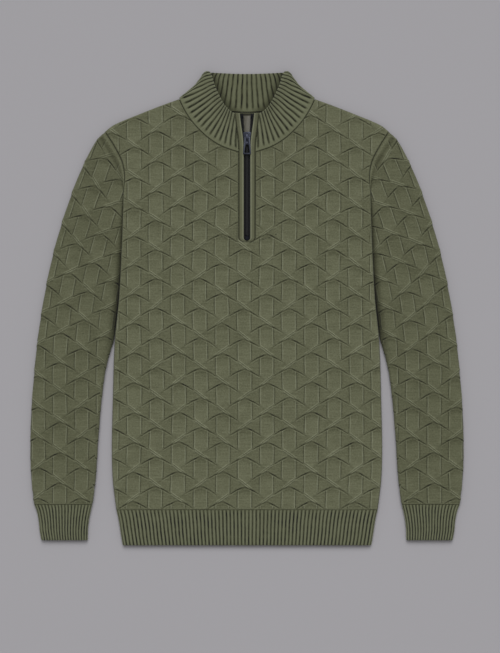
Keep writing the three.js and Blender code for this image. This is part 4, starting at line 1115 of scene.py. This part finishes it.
# The slider and its pull are copies of the made shapes with their doubles merged and their edges bevelled.
def metalCopy(node, name, bodyName, bevel):
    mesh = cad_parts[node].data.copy()
    mesh.name = name
    work = bmesh.new()
    work.from_mesh(mesh)
    bmesh.ops.remove_doubles(work, verts=work.verts, dist=0.002 * mm)
    bmesh.ops.recalc_face_normals(work, faces=work.faces)
    bmesh.ops.dissolve_limit(work, angle_limit=math.radians(2), verts=work.verts, edges=work.edges)
    work.to_mesh(mesh)
    work.free()
    mesh.materials.clear()
    mesh.materials.append(zipMetal)
    mesh.shade_smooth()
    piece = bpy.data.objects.new(name, mesh)
    scene.collection.objects.link(piece)
    edge = piece.modifiers.new("edge", "BEVEL")
    edge.width, edge.segments = bevel * mm, 2
    edge.limit_method, edge.angle_limit = "ANGLE", math.radians(35)
    edge.harden_normals = True
    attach(piece, bodyName)
    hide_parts(node)
    return piece


metalCopy("zip_slider", "zipSliderMetal", "garment", 0.22)
metalCopy("pull_tab", "zipPullMetal", "pull", 0.2)


def keepNode(node, material):              # a made shape that stays, in its own finish
    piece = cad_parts[node]
    piece.data.materials.clear()
    piece.data.materials.append(material)
    return piece


for stop in ("zip_bottom_stop", "zip_top_stop_left", "zip_top_stop_right"):
    keepNode(stop, stopMetal)
tapes = [keepNode("zip_tape_" + side, tapeCloth) for side in ("left", "right")]
neckLabel = keepNode("neck_label", labelWeave)
print("zip made")


# The floor, lights and camera: colours as 0 to 255, places in metres, the tilt in degrees.
studio = {
    "floor": (176, 174, 178), "floorHalf": 40, "floorZ": -0.0012,
    "height": 2.811, "lookX": 0.00465, "lookY": -0.0279, "lens": 100.0, "filmHeight": 36.0,
    "keyPower": 1.65, "keyTilt": 42.0, "air": 0.39,
    "keySoft": 0.7,               # radians that the light spreads over
}
corners = [(x * studio["floorHalf"], y * studio["floorHalf"], studio["floorZ"])
           for x, y in ((-1, -1), (1, -1), (1, 1), (-1, 1))]
floorMesh = bpy.data.meshes.new("floorPlane")
floorMesh.from_pydata(corners, [], [(0, 1, 2, 3)])
floor = bpy.data.objects.new("floorPlane", floorMesh)
scene.collection.objects.link(floor)
floorMaterial, floorTree, floorShader = newMaterial("floorPaper", 0.9)
floorTone = 1.0 + noiseField(floorTree, 3.0) * 0.01
finishCloth(floorTree, floorShader, linear(*studio["floor"]), floorTone, noiseField(floorTree, 900.0) * 0.02)
floorMesh.materials.append(floorMaterial)


def sunLight(name, tilt, softness, power):           # a broad even light, tilted back from straight down
    light = bpy.data.lights.new(name, "SUN")
    light.energy, light.angle = power, softness
    lamp = bpy.data.objects.new(name, light)
    lamp.rotation_euler = (math.radians(tilt), 0, 0)
    scene.collection.objects.link(lamp)


sunLight("keyLight", -studio["keyTilt"], studio["keySoft"], studio["keyPower"])
world = bpy.data.worlds.new("air")
world.use_nodes = True
world.node_tree.nodes["Background"].inputs[0].default_value = (1, 1, 1, 1)
world.node_tree.nodes["Background"].inputs[1].default_value = studio["air"]
scene.world = world

camera = bpy.data.objects.new("camera", bpy.data.cameras.new("camera"))
camera.data.lens = studio["lens"]
camera.data.sensor_fit, camera.data.sensor_height = "VERTICAL", studio["filmHeight"]
camera.location = (studio["lookX"], studio["lookY"], studio["height"])
scene.collection.objects.link(camera)
scene.camera = camera
scene.view_settings.view_transform = "Standard"
print("stage set")
